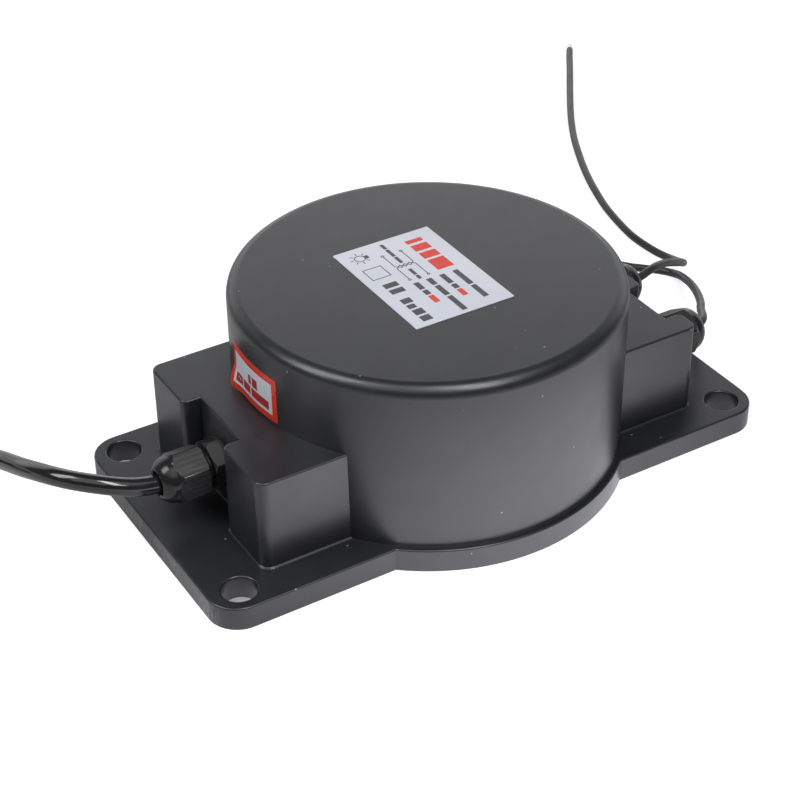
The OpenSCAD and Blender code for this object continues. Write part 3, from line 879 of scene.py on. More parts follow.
@dataclass(frozen=True)
class SoftBox:
    """A soft lamp, given by its direction in degrees, its size and its brightness."""

    name: str
    azimuth: float
    elevation: float
    width: float
    height: float
    bright: float
    distance: float = 1300.0

    def build(self) -> None:
        """Place the lamp so that it faces the object."""
        a, e = math.radians(self.azimuth), math.radians(self.elevation)
        aim = Vector((math.cos(a) * math.cos(e), math.sin(a) * math.cos(e), math.sin(e)))
        data = bpy.data.lights.new(self.name, "AREA")
        data.shape = "RECTANGLE"
        data.size = self.width * MM
        data.size_y = self.height * MM
        data.energy = self.bright * math.pi * data.size * data.size_y
        lamp = bpy.data.objects.new(self.name, data)
        turn = aim.to_track_quat("Z", "Y").to_matrix().to_4x4()
        lamp.matrix_world = Matrix.Translation(aim * self.distance * MM) @ turn
        bpy.context.scene.collection.objects.link(lamp)


@dataclass
class Studio:
    """Camera, floor, surroundings and soft lamps."""

    azimuth: float = -31.12
    elevation: float = 35.04
    roll: float = -0.58
    distance: float = 604.4
    target: Point = (-12.68, -3.81, 25.0)
    focal_px: float = 1904.59
    frame_px: float = 800.0
    sensor: float = 36.0
    floor_half: float = 3000.0
    floor_level: float = -0.02
    floor_colour: Point = (0.58, 0.58, 0.58)
    # Painted shade: the floor's colour darkens to this far from the object, standing in for the dim room
    # that reflections show.
    floor_far_shade_colour: Point = (0.35, 0.35, 0.36)
    floor_fade: Pair = (380.0, 800.0)
    floor_glow: float = 0.76
    glow_colour: Point = (0.965, 0.955, 1.0)
    hole_place: Point = (90.0, 40.0, 0.0)
    hole_shade: float = 8.0
    pool_middle: Point = (4.0, -92.0, 0.0)
    pool_radius: float = 122.0
    pool_stretch: float = 1.4
    pool_glow: Pair = (0.1, 1.75)
    room_glossy: float = 0.1
    room_diffuse: float = 0.07
    backdrop_top: Pair = (0.515, 0.6)
    backdrop_side: Pair = (0.42, 0.7)
    soft_boxes: Sequence[SoftBox] = (
        SoftBox("lamp_key", 273, 60, 300, 900, 8.0),
        SoftBox("lamp_front", 224, 60, 1100, 1100, 0.8),
        SoftBox("lamp_left", 165, 50, 480, 850, 5.2),
        SoftBox("lamp_right", 306, 62, 600, 600, 0.7),
        SoftBox("lamp_back", 58, 12, 900, 900, 0.4),
    )

    def build(self) -> None:
        """Set up everything round the object."""
        self.camera()
        self.world()
        self.floor()
        for lamp in self.soft_boxes:
            lamp.build()
        bpy.context.scene.view_settings.view_transform = "Standard"

    def camera(self) -> None:
        """Place the camera where the photograph was taken from."""
        az, el, roll = (math.radians(a) for a in (self.azimuth, self.elevation, self.roll))
        forward = Vector((-math.sin(az) * math.cos(el), math.cos(az) * math.cos(el), -math.sin(el)))
        right = Vector((math.cos(az), math.sin(az), 0))
        up = right.cross(forward)
        right, up = (
            math.cos(roll) * right + math.sin(roll) * up,
            -math.sin(roll) * right + math.cos(roll) * up,
        )
        place = (Vector(self.target) - self.distance * forward) * MM
        data = bpy.data.cameras.new("camera")
        data.sensor_width = self.sensor
        data.lens = self.sensor * self.focal_px / self.frame_px
        data.clip_start = 0.01
        data.clip_end = 20
        camera = bpy.data.objects.new("camera", data)
        camera.matrix_world = Matrix(
            (
                (right.x, up.x, -forward.x, place.x),
                (right.y, up.y, -forward.y, place.y),
                (right.z, up.z, -forward.z, place.z),
                (0, 0, 0, 1),
            )
        )
        bpy.context.scene.collection.objects.link(camera)
        bpy.context.scene.camera = camera

    def world(self) -> None:
        """Surroundings: a white backdrop behind the object and a dim room above it."""
        world = bpy.data.worlds.new("surroundings")
        world.use_nodes = True
        bpy.context.scene.world = world
        tree = world.node_tree
        ray = tree.nodes.new("ShaderNodeLightPath")
        room = tree.nodes["Background"]
        room.inputs["Color"].default_value = (0.94, 0.96, 1.0, 1)
        diffuse = ray.outputs["Is Diffuse Ray"]
        strength = ranged(tree, diffuse, 0, 1, self.room_glossy, self.room_diffuse, smooth=True)
        tree.links.new(strength, room.inputs["Strength"])
        white = tree.nodes.new("ShaderNodeBackground")
        white.inputs["Color"].default_value = (1, 1, 1, 1)
        white.inputs["Strength"].default_value = 1.0
        wall = maths(tree, "MULTIPLY", ray.outputs["Is Glossy Ray"], self.wall(tree))
        seen = maths(tree, "MAXIMUM", wall, ray.outputs["Is Transmission Ray"])
        seen = maths(tree, "MAXIMUM", seen, ray.outputs["Is Camera Ray"])
        blended(tree, seen, room, white, "World Output")

    def wall(self, tree: Tree) -> Socket:
        """Where the surroundings hold the backdrop, behind the object and not far up.

        Args:
            tree: The world's node tree.

        Returns:
            1 on the backdrop and 0 away from it.
        """
        parts = tree.nodes.new("ShaderNodeSeparateXYZ")
        tree.links.new(tree.nodes.new("ShaderNodeTexCoord").outputs["Generated"], parts.inputs[0])
        low = ranged(tree, parts.outputs[2], *self.backdrop_top, 1, 0, smooth=True)
        turn = math.radians(self.azimuth + 90)
        along = maths(tree, "MULTIPLY", parts.outputs[0], math.cos(turn))
        across = maths(tree, "MULTIPLY", parts.outputs[1], math.sin(turn))
        behind = ranged(tree, maths(tree, "ADD", along, across), *self.backdrop_side, 0, 1, smooth=True)
        return maths(tree, "MULTIPLY", low, behind)

    def floor(self) -> None:
        """A plain white floor that keeps the object's shadow."""
        level = (0, 0, self.floor_level * MM)
        bpy.ops.object.select_all(action="DESELECT")
        bpy.ops.mesh.primitive_plane_add(size=2 * self.floor_half * MM, location=level)
        floor = settle("floor")
        floor.data.materials.append(self.floor_material())

    def floor_material(self) -> bpy.types.Material:
        """White from above, with painted shade that darkens its colour far from the object, and clear from
        below, so that the object's underside can be seen.

        Returns:
            The material.
        """
        material = bpy.data.materials.new("floor_white")
        material.use_nodes = True
        tree = material.node_tree
        shader = tree.nodes["Principled BSDF"]
        shader.inputs["Roughness"].default_value = 0.9
        shader.inputs["Specular IOR Level"].default_value = 0.0
        place = tree.nodes.new("ShaderNodeTexCoord").outputs["Object"]
        near, far = (r * MM for r in self.floor_fade)
        fade = ranged(tree, vectors(tree, "LENGTH", place), near, far, smooth=True)
        # Painted shade: the floor's colour darkens with distance from the object.
        colour = mixed(tree, fade, self.floor_colour, self.floor_far_shade_colour)
        tree.links.new(colour, shader.inputs["Base Color"])
        glow = maths(tree, "MAXIMUM", self.seen_glow(tree, place, fade), self.mirrored_glow(tree, place))
        shader.inputs["Emission Color"].default_value = (*self.glow_colour, 1)
        tree.links.new(glow, shader.inputs["Emission Strength"])
        under = tree.nodes.new("ShaderNodeNewGeometry").outputs["Backfacing"]
        clear = tree.nodes.new("ShaderNodeBsdfTransparent")
        blended(tree, under, shader, clear, "Material Output")
        return material

    def seen_glow(self, tree: Tree, place: Socket, fade: Socket) -> Socket:
        """Glow that the camera sees, left out under the plate's holes as painted shade, so that the floor
        seen through them shows dark.

        Args:
            tree: The floor's node tree.
            place: Object coordinates.
            fade: 0 near the object and 1 far out.

        Returns:
            Its strength.
        """
        ray = tree.nodes.new("ShaderNodeLightPath")
        seen = maths(tree, "MAXIMUM", ray.outputs["Is Camera Ray"], ray.outputs["Is Transmission Ray"])
        seen = maths(tree, "MULTIPLY", seen, ranged(tree, fade, 0, 1, self.floor_glow, 1, smooth=True))
        # Painted shade: no glow within hole_shade of each hole's place, so the floor there shows only its
        # dark shaded colour.
        hole = [c * MM for c in self.hole_place]
        from_hole = vectors(tree, "DISTANCE", vectors(tree, "ABSOLUTE", place), hole)
        lit = maths(tree, "GREATER_THAN", from_hole, self.hole_shade * MM)
        return maths(tree, "MULTIPLY", seen, lit)

    def mirrored_glow(self, tree: Tree, place: Socket) -> Socket:
        """Pool of light in front of the object, which its side mirrors.

        Args:
            tree: The floor's node tree.
            place: Object coordinates.

        Returns:
            Its strength.
        """
        ray = tree.nodes.new("ShaderNodeLightPath")
        squeeze = (1 / self.pool_stretch, 1, 1)
        middle = [c * k * MM for c, k in zip(self.pool_middle, squeeze)]
        away = vectors(tree, "DISTANCE", vectors(tree, "MULTIPLY", place, squeeze), middle)
        outer, inner = self.pool_glow
        pool = ranged(tree, away, 0, self.pool_radius * MM, inner, outer, smooth=True)
        caught = maths(tree, "MAXIMUM", ray.outputs["Is Glossy Ray"], ray.outputs["Is Diffuse Ray"])
        return maths(tree, "MULTIPLY", pool, caught)


# Cords


@dataclass
class Cord:
    """A free cord on its route, with its spare length in one loop."""

    name: str
    radius: float
    route: Sequence[Point]
    nodes: Sequence[str]
    pieces: Sequence[str]
    finish: Finish
    loop_radius: float = 0.0
    loop_gap: float = 0.6
    loop_rings: int = 24
    climb_from: float = 0.4
    climb_to: float = 0.9
    steps: int = 6
    stiffness: str = "medium"

    @property
    def heading(self) -> float:
        """Angle in which the route ends."""
        a, b = self.route[-2], self.route[-1]
        return math.atan2(b[1] - a[1], b[0] - a[0])

    def loop_point(self, share: float) -> Vector:
        """Point of the loop at a share of its turn.

        Args:
            share: Share of the turn, from 0 to 1.

        Returns:
            The point in millimetres.
        """
        span = (share - self.climb_from) / (self.climb_to - self.climb_from)
        climb = (1 - math.cos(math.pi * min(1, max(0, span)))) / 2
        side = self.heading + math.pi / 2
        out = self.heading - math.pi / 2 + 2 * math.pi * share
        flat = Vector((math.cos(side) + math.cos(out), math.sin(side) + math.sin(out), 0))
        rise = Vector((0, 0, (2 * self.radius + self.loop_gap) * climb))
        return Vector(self.route[-1]) + self.loop_radius * flat + rise

    def way(self) -> list[Vector]:
        """All points of the route and the loop, smoothed.

        Returns:
            The points in metres.
        """
        points = [Vector(p) for p in self.route]
        if self.loop_radius:
            points += [self.loop_point(i / self.loop_rings) for i in range(1, self.loop_rings + 1)]
            onward = Vector((math.cos(self.heading), math.sin(self.heading), 0))
            points.append(points[-1] + 2 * self.radius * onward)
        padded = [2 * points[0] - points[1], *points, 2 * points[-1] - points[-2]]
        smooth = []
        for a, b, c, d in zip(padded, padded[1:], padded[2:], padded[3:]):
            for step in range(self.steps):
                t = step / self.steps
                smooth.append(
                    0.5
                    * (
                        2 * b
                        + (c - a) * t
                        + (2 * a - 5 * b + 4 * c - d) * t**2
                        + (3 * b - a - 3 * c + d) * t**3
                    )
                )
        smooth.append(points[-1])
        return [p * MM for p in smooth]

    def build(self, frame: dict) -> bpy.types.Object:
        """Args:
            frame: The loaded frame; not used.

        Returns:
            The cord.
        """
        way = self.way()
        data = bpy.data.curves.new(self.name, "CURVE")
        data.dimensions = "3D"
        spline = data.splines.new("POLY")
        spline.points.add(len(way) - 1)
        for point, place in zip(spline.points, way):
            point.co = (*place, 1)
        data.bevel_depth = self.radius * MM
        data.bevel_resolution = 5
        data.use_fill_caps = True
        cord = bpy.data.objects.new(self.name, data)
        bpy.context.scene.collection.objects.link(cord)
        data.materials.append(self.finish.material())
        rides(cord, HOUSING_BODY, "cord_plastic", *self.nodes)
        return cord


@dataclass
class Cords:
    """The input cable and the two output leads."""

    cable_radius: float = 2.95
    lead_radius: float = 1.45
    input_route: Sequence[Point] = (
        (-94.7, 0, 23),
        (-97.2, 0.04, 23.2),
        (-100.2, 0.17, 23.75),
        (-103.2, 0.6, 24.4),
        (-106.1, 1.25, 25.2),
        (-109.4, 2.36, 26.15),
        (-112.8, 4.05, 27),
        (-116.4, 6.6, 27.6),
        (-119.9, 10.1, 27.8),
        (-123, 15, 27.3),
        (-125.1, 21.2, 25.6),
        (-126.5, 28.4, 22.9),
        (-127.3, 36.5, 19.5),
        (-128, 45, 15.9),
        (-129.1, 54, 12.2),
        (-130.6, 63, 8.8),
        (-132.4, 71.5, 6.1),
        (-134.3, 79.5, 4.3),
        (-136.3, 87.5, 3.45),
        (-138.4, 95.5, 3.3),
        (-140.6, 103, 3.7),
    )
    lead_a_route: Sequence[Point] = (
        (94.7, 17.25, 23),
        (97.2, 17.3, 23.15),
        (100, 17.6, 23.6),
        (103, 18.3, 23.95),
        (106.8, 19.7, 23.7),
        (111.2, 21.6, 22.5),
        (116.1, 23.8, 20.5),
        (121.6, 26.3, 17.7),
        (126.2, 28.9, 14.9),
        (130.5, 32.1, 11.8),
        (134.2, 36, 8.6),
        (137.2, 40.6, 5.6),
        (139, 45.8, 3.1),
        (139.2, 51.4, 1.75),
        (138.4, 57, 1.45),
        (137.9, 64, 1.45),
        (138, 71, 1.45),
        (139, 78, 1.45),
        (140.6, 86, 1.45),
        (143, 95.5, 1.45),
        (146.4, 105.5, 1.45),
        (150.4, 116, 1.45),
        (155, 126.5, 1.45),
        (160.4, 137.5, 1.45),
        (166.6, 149.2, 1.45),
        (173.6, 160.8, 1.45),
        (181, 172, 1.45),
        (188.8, 183.2, 1.45),
        (196.6, 194.2, 1.45),
        (204.3, 205, 1.45),
        (212, 216, 1.45),
        (216.5, 222.2, 1.45),
    )
    lead_b_route: Sequence[Point] = (
        (94.7, -17.25, 23),
        (96.9, -17, 23),
        (99, -16.2, 22.95),
        (100.9, -14.8, 22.75),
        (102.6, -12.9, 22.3),
        (104.3, -10.4, 21.6),
        (106.5, -7.2, 20.5),
        (109.3, -3.8, 19),
        (112.9, 0.3, 16.9),
        (116.7, 5.3, 14.6),
        (120.9, 11.3, 12.2),
        (124.9, 17.8, 9.8),
        (128.6, 24.5, 7.3),
        (131.5, 30.8, 5),
        (133.4, 36.2, 3.15),
        (133.7, 40.2, 2),
        (132.5, 43.7, 1.5),
        (130, 46.8, 1.45),
        (126.8, 49.9, 1.45),
        (123.4, 53.4, 1.45),
        (120.4, 57.4, 1.45),
        (117.4, 62.2, 1.45),
        (114.4, 67.8, 1.45),
        (111, 74.5, 1.45),
        (107.4, 81.7, 1.45),
        (103.7, 89, 1.45),
        (99.8, 96.6, 1.55),
        (96, 104, 2.15),
    )

    def build(self, frame: dict) -> None:
        """Build the three free cords.

        Args:
            frame: The loaded frame.
        """
        Cord(
            "input_cable_jacket",
            self.cable_radius,
            self.input_route,
            ("input_cable", "input_cable_coil"),
            ("input_coil_tie", "end_core_live", "end_core_neutral", "end_tip_live", "end_tip_neutral"),
            CABLE_FINISH,
            loop_radius=30,
        ).build(frame)
        Cord(
            "output_lead_a_jacket",
            self.lead_radius,
            self.lead_a_route,
            ("output_lead_a",),
            ("output_lead_tip_a",),
            LEAD_FINISH,
            stiffness="limp",
        ).build(frame)
        Cord(
            "output_lead_b_jacket",
            self.lead_radius,
            self.lead_b_route,
            ("output_lead_b", "output_lead_coil_b"),
            ("output_coil_tie_b", "output_lead_tip_b"),
            LEAD_FINISH,
            loop_radius=16,
            stiffness="limp",
        ).build(frame)


# Housing


@dataclass
class Housing:
    """Drum, foot ring, base plate and terminal boxes, as one moulding."""

    drum_radius: float = 62.5
    height: float = 65.5
    top_rounding: float = 4.0
    foot_radius: float = 64.5
    wall: float = 3.0
    plate_half: Pair = (100.0, 49.0)
    plate_height: float = 8.0
    plate_corner: float = 10.0
    bolt_places: Pair = (90.0, 40.0)
    bolt_radius: float = 5.5
    boss_radius: float = 9.0
    rise_from: float = 3.0
    box_reach: float = 80.0
    box_half: float = 37.0
    box_top: float = 39.0
    box_corner: float = 3.5
    box_draft: float = 0.5
    box_space_start: float = 30.0
    pocket_depth: float = 6.0
    pocket_mouth: float = 2.5
    input_pocket: float = 26.0
    output_pocket: float = 20.5
    output_places: tuple[float, ...] = (17.25, -17.25)
    gland_height: float = 23.0
    gland_hole: float = 6.25
    edge: float = 0.6
    root: float = 0.5
    drum_root_share: float = 1.6
    box_root_share: float = 0.96
    under_edge_share: float = 0.5
    stud_places: Pair = (53.2, 39.3)
    stud_radius: float = 1.0
    stud_height: float = 0.45
    stud_edge_share: float = 0.8
    round_sides: int = 256
    hole_sides: int = 72
    gland_hole_sides: int = 64
    stud_sides: int = 24

    def build(self) -> bpy.types.Object:
        """Build, hollow out and dress the moulding.

        Returns:
            The moulding.
        """
        body = self.plate()
        for part in (self.foot(), self.drum(), self.box("box_out", 1), self.box("box_in", -1)):
            combine(body, part, "UNION")
        for part in self.roots() + self.studs():
            combine(body, part, "UNION")
        combine(body, self.hollow(), "DIFFERENCE")
        for part in self.gland_holes():
            combine(body, part, "DIFFERENCE")
        body.name = body.data.name = "housing_moulding"
        clean(body, 32)
        even_normals(body)
        dress(body, HOUSING_FINISH)
        rides(body, HOUSING_BODY, "housing_plastic", "housing")
        return body

    def roots(self) -> list[bpy.types.Object]:
        """Small slopes where the drum and the boxes rise from the plate.

        Returns:
            The slopes as solids to be joined on.
        """
        low, high = self.plate_height - CUT, self.plate_height + self.root
        radius = self.drum_radius
        wide = radius + self.drum_root_share * self.root
        made = [rod("drum_root", wide, (0, 0, low), (0, 0, high), self.round_sides, radius)]
        for side in (1, -1):
            strip = self.box_block("box_root", side, self.root, low, high)
            bevel(strip, self.outer_top(high), self.root * self.box_root_share, 1)
            made.append(strip)
        return made

    @staticmethod
    def outer_top(height: float) -> Test:
        """Test for a terminal box's top edges, but the one inside the drum.

        Args:
            height: Height of its top.

        Returns:
            The test.
        """
        at_top = above(height)
        return lambda a, b: at_top(a, b) and max(abs(a.x), abs(b.x)) > 1

    def studs(self) -> list[bpy.types.Object]:
        """Small flat studs on the plate beside the boxes.

        Returns:
            The studs.
        """
        low, high = self.plate_height - 0.5 * CUT, self.plate_height + self.stud_height
        made = []
        for x, y in self.corners(self.stud_places):
            stud = rod("stud", self.stud_radius, (x, y, low), (x, y, high), self.stud_sides)
            bevel(stud, above(high), self.stud_height * self.stud_edge_share, 4)
            made.append(stud)
        return made

    def slab(self, name: str, inset: float, low: float, high: float) -> bpy.types.Object:
        """Plate-shaped slab with rounded corners.

        Args:
            name: Name of the piece.
            inset: How far it lies inside the plate's outline.
            low: Height of its underside.
            high: Height of its top.

        Returns:
            The slab.
        """
        x, y = (h - inset for h in self.plate_half)
        slab = block(name, (-x, -y, low), (x, y, high))
        bevel(slab, upright(), self.plate_corner - inset, 14)
        return slab

    @staticmethod
    def corners(places: Pair) -> list[Pair]:
        """The four places that lie alike about the middle of the plate.

        Args:
            places: Their distances from its middle, along and across.

        Returns:
            The places.
        """
        x, y = places
        return [(sx * x, sy * y) for sx in (-1, 1) for sy in (-1, 1)]

    def break_edges(self, part: bpy.types.Object) -> None:
        """Round the upper and lower edges of a flat part of the plate.

        Args:
            part: The part.
        """
        bevel(part, above(self.plate_height), self.edge, 3)
        bevel(part, below(0), self.edge * self.under_edge_share, 2)

    def plate(self) -> bpy.types.Object:
        """Base plate with its four holes and broken edges.

        Returns:
            The plate.
        """
        plate = self.slab("plate", 0, 0, self.plate_height)
        top = self.plate_height + CUT
        for x, y in self.corners(self.bolt_places):
            hole = rod("hole", self.bolt_radius, (x, y, -CUT), (x, y, top), self.hole_sides)
            combine(plate, hole, "DIFFERENCE")
        self.break_edges(plate)
        return plate

    def foot(self) -> bpy.types.Object:
        """Foot ring's disc under the drum.

        Returns:
            The disc.
        """
        foot = rod("foot", self.foot_radius, (0, 0, 0), (0, 0, self.plate_height), self.round_sides)
        self.break_edges(foot)
        return foot

    def drum(self) -> bpy.types.Object:
        """Drum with its rounded top edge.

        Returns:
            The drum.
        """
        low, high = (0, 0, self.rise_from), (0, 0, self.height)
        drum = rod("drum", self.drum_radius, low, high, self.round_sides)
        bevel(drum, above(self.height), self.top_rounding, 10)
        return drum

    def box(self, name: str, side: int) -> bpy.types.Object:
        """One terminal box with its pockets.

        Args:
            name: Name of the piece.
            side: 1 at the output end and -1 at the input end.

        Returns:
            The box.
        """
        box = self.box_block(name, side, 0, self.rise_from, self.box_top)
        self.draw_in(box)
        bevel(box, self.outer_top(self.box_top), self.edge, 3)
        return box

    def box_block(self, name: str, side: int, grow: float, low: float, high: float) -> bpy.types.Object:
        """Block with a terminal box's outline, rounded corners and pockets.

        Args:
            name: Name of the piece.
            side: 1 at the output end and -1 at the input end.
            grow: How far it lies outside the box's own outline.
            low: Height of its underside.
            high: Height of its top.

        Returns:
            The block.
        """
        reach, half = self.box_reach + grow, self.box_half + grow
        ends = sorted((0.0, side * reach))
        box = block(name, (ends[0], -half, low), (ends[1], half, high))
        bevel(box, lambda a, b: abs(a.z - b.z) > 1 and abs(a.x) > 1, self.box_corner + grow, 8)
        places = self.output_places if side > 0 else (0.0,)
        width = (self.output_pocket if side > 0 else self.input_pocket) - 2 * grow
        deep = self.box_reach - self.pocket_depth + grow
        for y in places:
            near, far = sorted((side * deep, side * (reach + 2 * CUT)))
            left, right = y - width / 2, y + width / 2
            pocket = block("pocket", (near, left, low - 3 * CUT), (far, right, high + 2 * CUT))
            combine(box, pocket, "DIFFERENCE")
        mouths = [y + s * width / 2 for y in places for s in (-1, 1)]

        def at_mouth(a: Vector, b: Vector) -> bool:
            """Whether an edge stands at the mouth of a pocket."""
            stands = abs(a.z - b.z) > 1 and abs(abs(a.x) - reach) < CLOSE
            return stands and any(abs(a.y - m) < CLOSE for m in mouths)

        bevel(box, at_mouth, self.pocket_mouth + grow, 6)
        return box

    def draw_in(self, box: bpy.types.Object) -> None:
        """Draw the top of a terminal box in, as its mould needs.

        Args:
            box: The box.
        """
        with editing(box, "VERT") as mesh:
            for vert in mesh.verts:
                vert.select_set(vert.co.z > (self.box_top - CLOSE) * MM)
            bmesh.update_edit_mesh(box.data)
            share = 1 - self.box_draft / self.box_half
            bpy.ops.transform.resize(value=(1, share, 1), center_override=(0, 0, self.box_top * MM))

    def hollow(self) -> bpy.types.Object:
        """The space inside the walls, which the potting compound fills.

        Returns:
            The space as a solid to be cut away.
        """
        wall, low = self.wall, -2 * CUT
        space = self.slab("hollow", wall, low, self.plate_height - wall)
        sides = self.round_sides
        for name, radius, top in (
            ("hollow_foot", self.foot_radius - wall, self.plate_height - wall),
            ("hollow_drum", self.drum_radius - wall, self.height - wall),
        ):
            combine(space, rod(name, radius, (0, 0, low), (0, 0, top), sides), "UNION")
        for side in (-1, 1):
            combine(space, self.box_space(side, low), "UNION")
        top = self.plate_height + 9 * CUT
        for x, y in self.corners(self.bolt_places):
            boss = rod("boss", self.boss_radius, (x, y, low - CUT), (x, y, top), self.hole_sides)
            combine(space, boss, "DIFFERENCE")
        return space

    def box_space(self, side: int, low: float) -> bpy.types.Object:
        """The space inside one terminal box, round its pockets.

        Args:
            side: 1 at the output end and -1 at the input end.
            low: Height where the space starts.

        Returns:
            The space as a solid.
        """
        wall, reach = self.wall, self.box_reach - self.wall
        half, top = self.box_half - self.wall, self.box_top - self.wall
        near, far = sorted((side * self.box_space_start, side * reach))
        space = block("space", (near, -half, low), (far, half, top))
        places = self.output_places if side > 0 else (0.0,)
        width = self.output_pocket if side > 0 else self.input_pocket
        inner = self.box_reach - self.pocket_depth - wall
        for y in places:
            near, far = sorted((side * inner, side * (reach + 4 * CUT)))
            left, right = y - width / 2 - wall, y + width / 2 + wall
            keep = block("keep", (near, left, low - CUT), (far, right, top + CUT))
            combine(space, keep, "DIFFERENCE")
        return space

    def gland_holes(self) -> list[bpy.types.Object]:
        """Round holes in the pockets' back walls.

        Returns:
            The holes as solids to be cut away.
        """
        face, z = self.box_reach - self.pocket_depth, self.gland_height
        near, far = face - self.wall - CUT, face + CUT
        return [
            rod("bore", self.gland_hole, (s * near, y, z), (s * far, y, z), self.gland_hole_sides)
            for s, y in [(-1, 0.0)] + [(1, y) for y in self.output_places]
        ]


# Cable glands


@dataclass
class CableGlands:
    """Three alike cable glands, each modelled along +X from its wall."""

    face: float = 74.0
    height: float = 23.0
    flats: float = 15.0
    corner_rounding: float = 0.35
    washer_radius: float = 8.0
    washer_bore: float = 6.3
    washer_edge: float = 0.2
    washer_start: float = 0.02
    washer_end: float = 1.0
    hex_end: float = 5.6
    thread_radius: float = 6.1
    root_radius: float = 5.45
    pitch: float = 1.27
    thread_end: float = 13.6
    bore_radius: float = 4.0
    inner_end: float = -9.0
    nut_start: float = 7.4
    nut_rim: float = 8.1
    nut_edge: float = 0.5
    nut_bore: float = 6.2
    nut_thread_end: float = 13.7
    throat: float = 5.55
    throat_end: float = 19.5
    mouth_radius: float = 4.0
    mouth_start: float = 21.5
    mouth_flare: float = 1.2
    nose: float = 22.0
    nose_outline: Sequence[Pair] = (
        (15.5, 8.64), (16.2, 8.45), (16.8, 8.05), (17.3, 7.6), (17.8, 7.4), (18.6, 7.3),
        (19.4, 7.05), (20.2, 6.6), (20.9, 6.05), (21.45, 5.5), (21.85, 4.95), (22.0, 4.6),
    )  # fmt: skip
    fingers_end: float = 17.6
    fingers_bore: float = 4.9
    fingers_root: float = 9.1
    hex_rim: float = 7.9
    hex_round: float = 8.62
    nut_sides: int = 96
    body_sides: int = 64
    spots: dict[str, tuple[int, float]] = field(
        default_factory=lambda: {"input": (-1, 0.0), "output_a": (1, 17.25), "output_b": (1, -17.25)}
    )

    def build(self) -> None:
        """Build one gland and copy it to the three places."""
        nut, body, washer = self.nut(), self.body(), self.washer()
        for tag, (side, y) in self.spots.items():
            place = Matrix.Translation(Vector((side * self.face, y, self.height)) * MM)
            if side < 0:
                place = place @ Matrix.Rotation(math.pi, 4, "Z")
            kind, _, letter = tag.partition("_")
            end = f"_{letter}" if letter else ""
            piece = copied(nut, f"{tag}_nut_moulding", place)
            rides(piece, f"{kind}_nut_body{end}", "gland_nylon", f"{kind}_dome_nut{end}")
            piece = copied(body, f"{tag}_gland_moulding", place)
            rides(piece, HOUSING_BODY, "gland_nylon", f"{kind}_gland_body{end}")
            piece = copied(washer, f"{tag}_washer_ring", place)
            rides(piece, HOUSING_BODY, "rubber_black", f"{kind}_gland_washer{end}")
        for model in (nut, body, washer):
            bpy.data.objects.remove(model)

    def hexagon(self, name: str, start: float, end: float) -> bpy.types.Object:
        """Hexagon along X with rounded corners, one corner on top.

        Args:
            name: Name of the piece.
            start: Distance from the wall where it starts.
            end: Distance from the wall where it ends.

        Returns:
            The hexagon.
        """
        solid = rod(name, self.flats / math.sqrt(3), (start, 0, 0), (end, 0, 0), 6)
        tip = max(solid.data.vertices, key=lambda v: v.co.z).co
        lean = math.atan2(tip.y, tip.z)
        solid.rotation_euler = (lean, 0, 0)
        only(solid)
        bpy.ops.object.transform_apply(location=False, rotation=True, scale=False)
        bevel(solid, lambda a, b: abs(a.x - b.x) > 0.5, self.corner_rounding, 3)
        return solid

    def nut(self) -> bpy.types.Object:
        """Dome nut: a hexagon that runs out into a rounded nose.

        Returns:
            The nut, with the flats' pattern laid out as a UV map.
        """
        start, end, mouth = self.nut_start, self.nose + CUT, self.mouth_radius
        nut = self.hexagon("nut", start, end)
        bell = [
            (start, 0), (start, self.nut_rim), (start + self.nut_edge, self.nut_rim + self.nut_edge),
            *self.nose_outline, (self.nose, 0),
        ]  # fmt: skip
        combine(nut, lathed("bell", bell, self.nut_sides), "INTERSECT")
        bore = [
            (start - CUT, 0), (start - CUT, self.nut_bore + 0.5), (start + 0.3, self.nut_bore),
            (self.nut_thread_end, self.nut_bore), (self.nut_thread_end, self.throat),
            (self.throat_end, self.throat), (self.throat_end, mouth), (self.mouth_start, mouth),
            (end, mouth + self.mouth_flare), (end, 0),
        ]  # fmt: skip
        combine(nut, lathed("bore", bore, self.nut_sides), "DIFFERENCE")
        clean(nut, 24)
        dress(nut, NUT_GLOSS_FINISH, NUT_RIB_FINISH)
        self.mark_flats(nut)
        return nut

    def mark_flats(self, nut: bpy.types.Object) -> None:
        """Give the flats the ribbed finish and lay the ribs' pattern over them.

        Args:
            nut: The nut along +X.
        """
        mesh = nut.data
        flat_at = self.flats / 2 - 0.02
        sheet = mesh.uv_layers.new(name="ribs")
        for face in mesh.polygons:
            normal, middle = face.normal, face.center / MM
            across = Vector((0, normal.z, -normal.y))
            level = abs(normal.x) < 0.02 and middle.dot(normal) > flat_at
            turn = math.degrees(math.atan2(normal.y, normal.z)) % 60
            face.material_index = int(level and abs(turn - 30) < 3)
            for corner in face.loop_indices:
                co = mesh.vertices[mesh.loops[corner].vertex_index].co / MM
                sheet.data[corner].uv = (co.dot(across) / self.flats, co.x / self.flats)

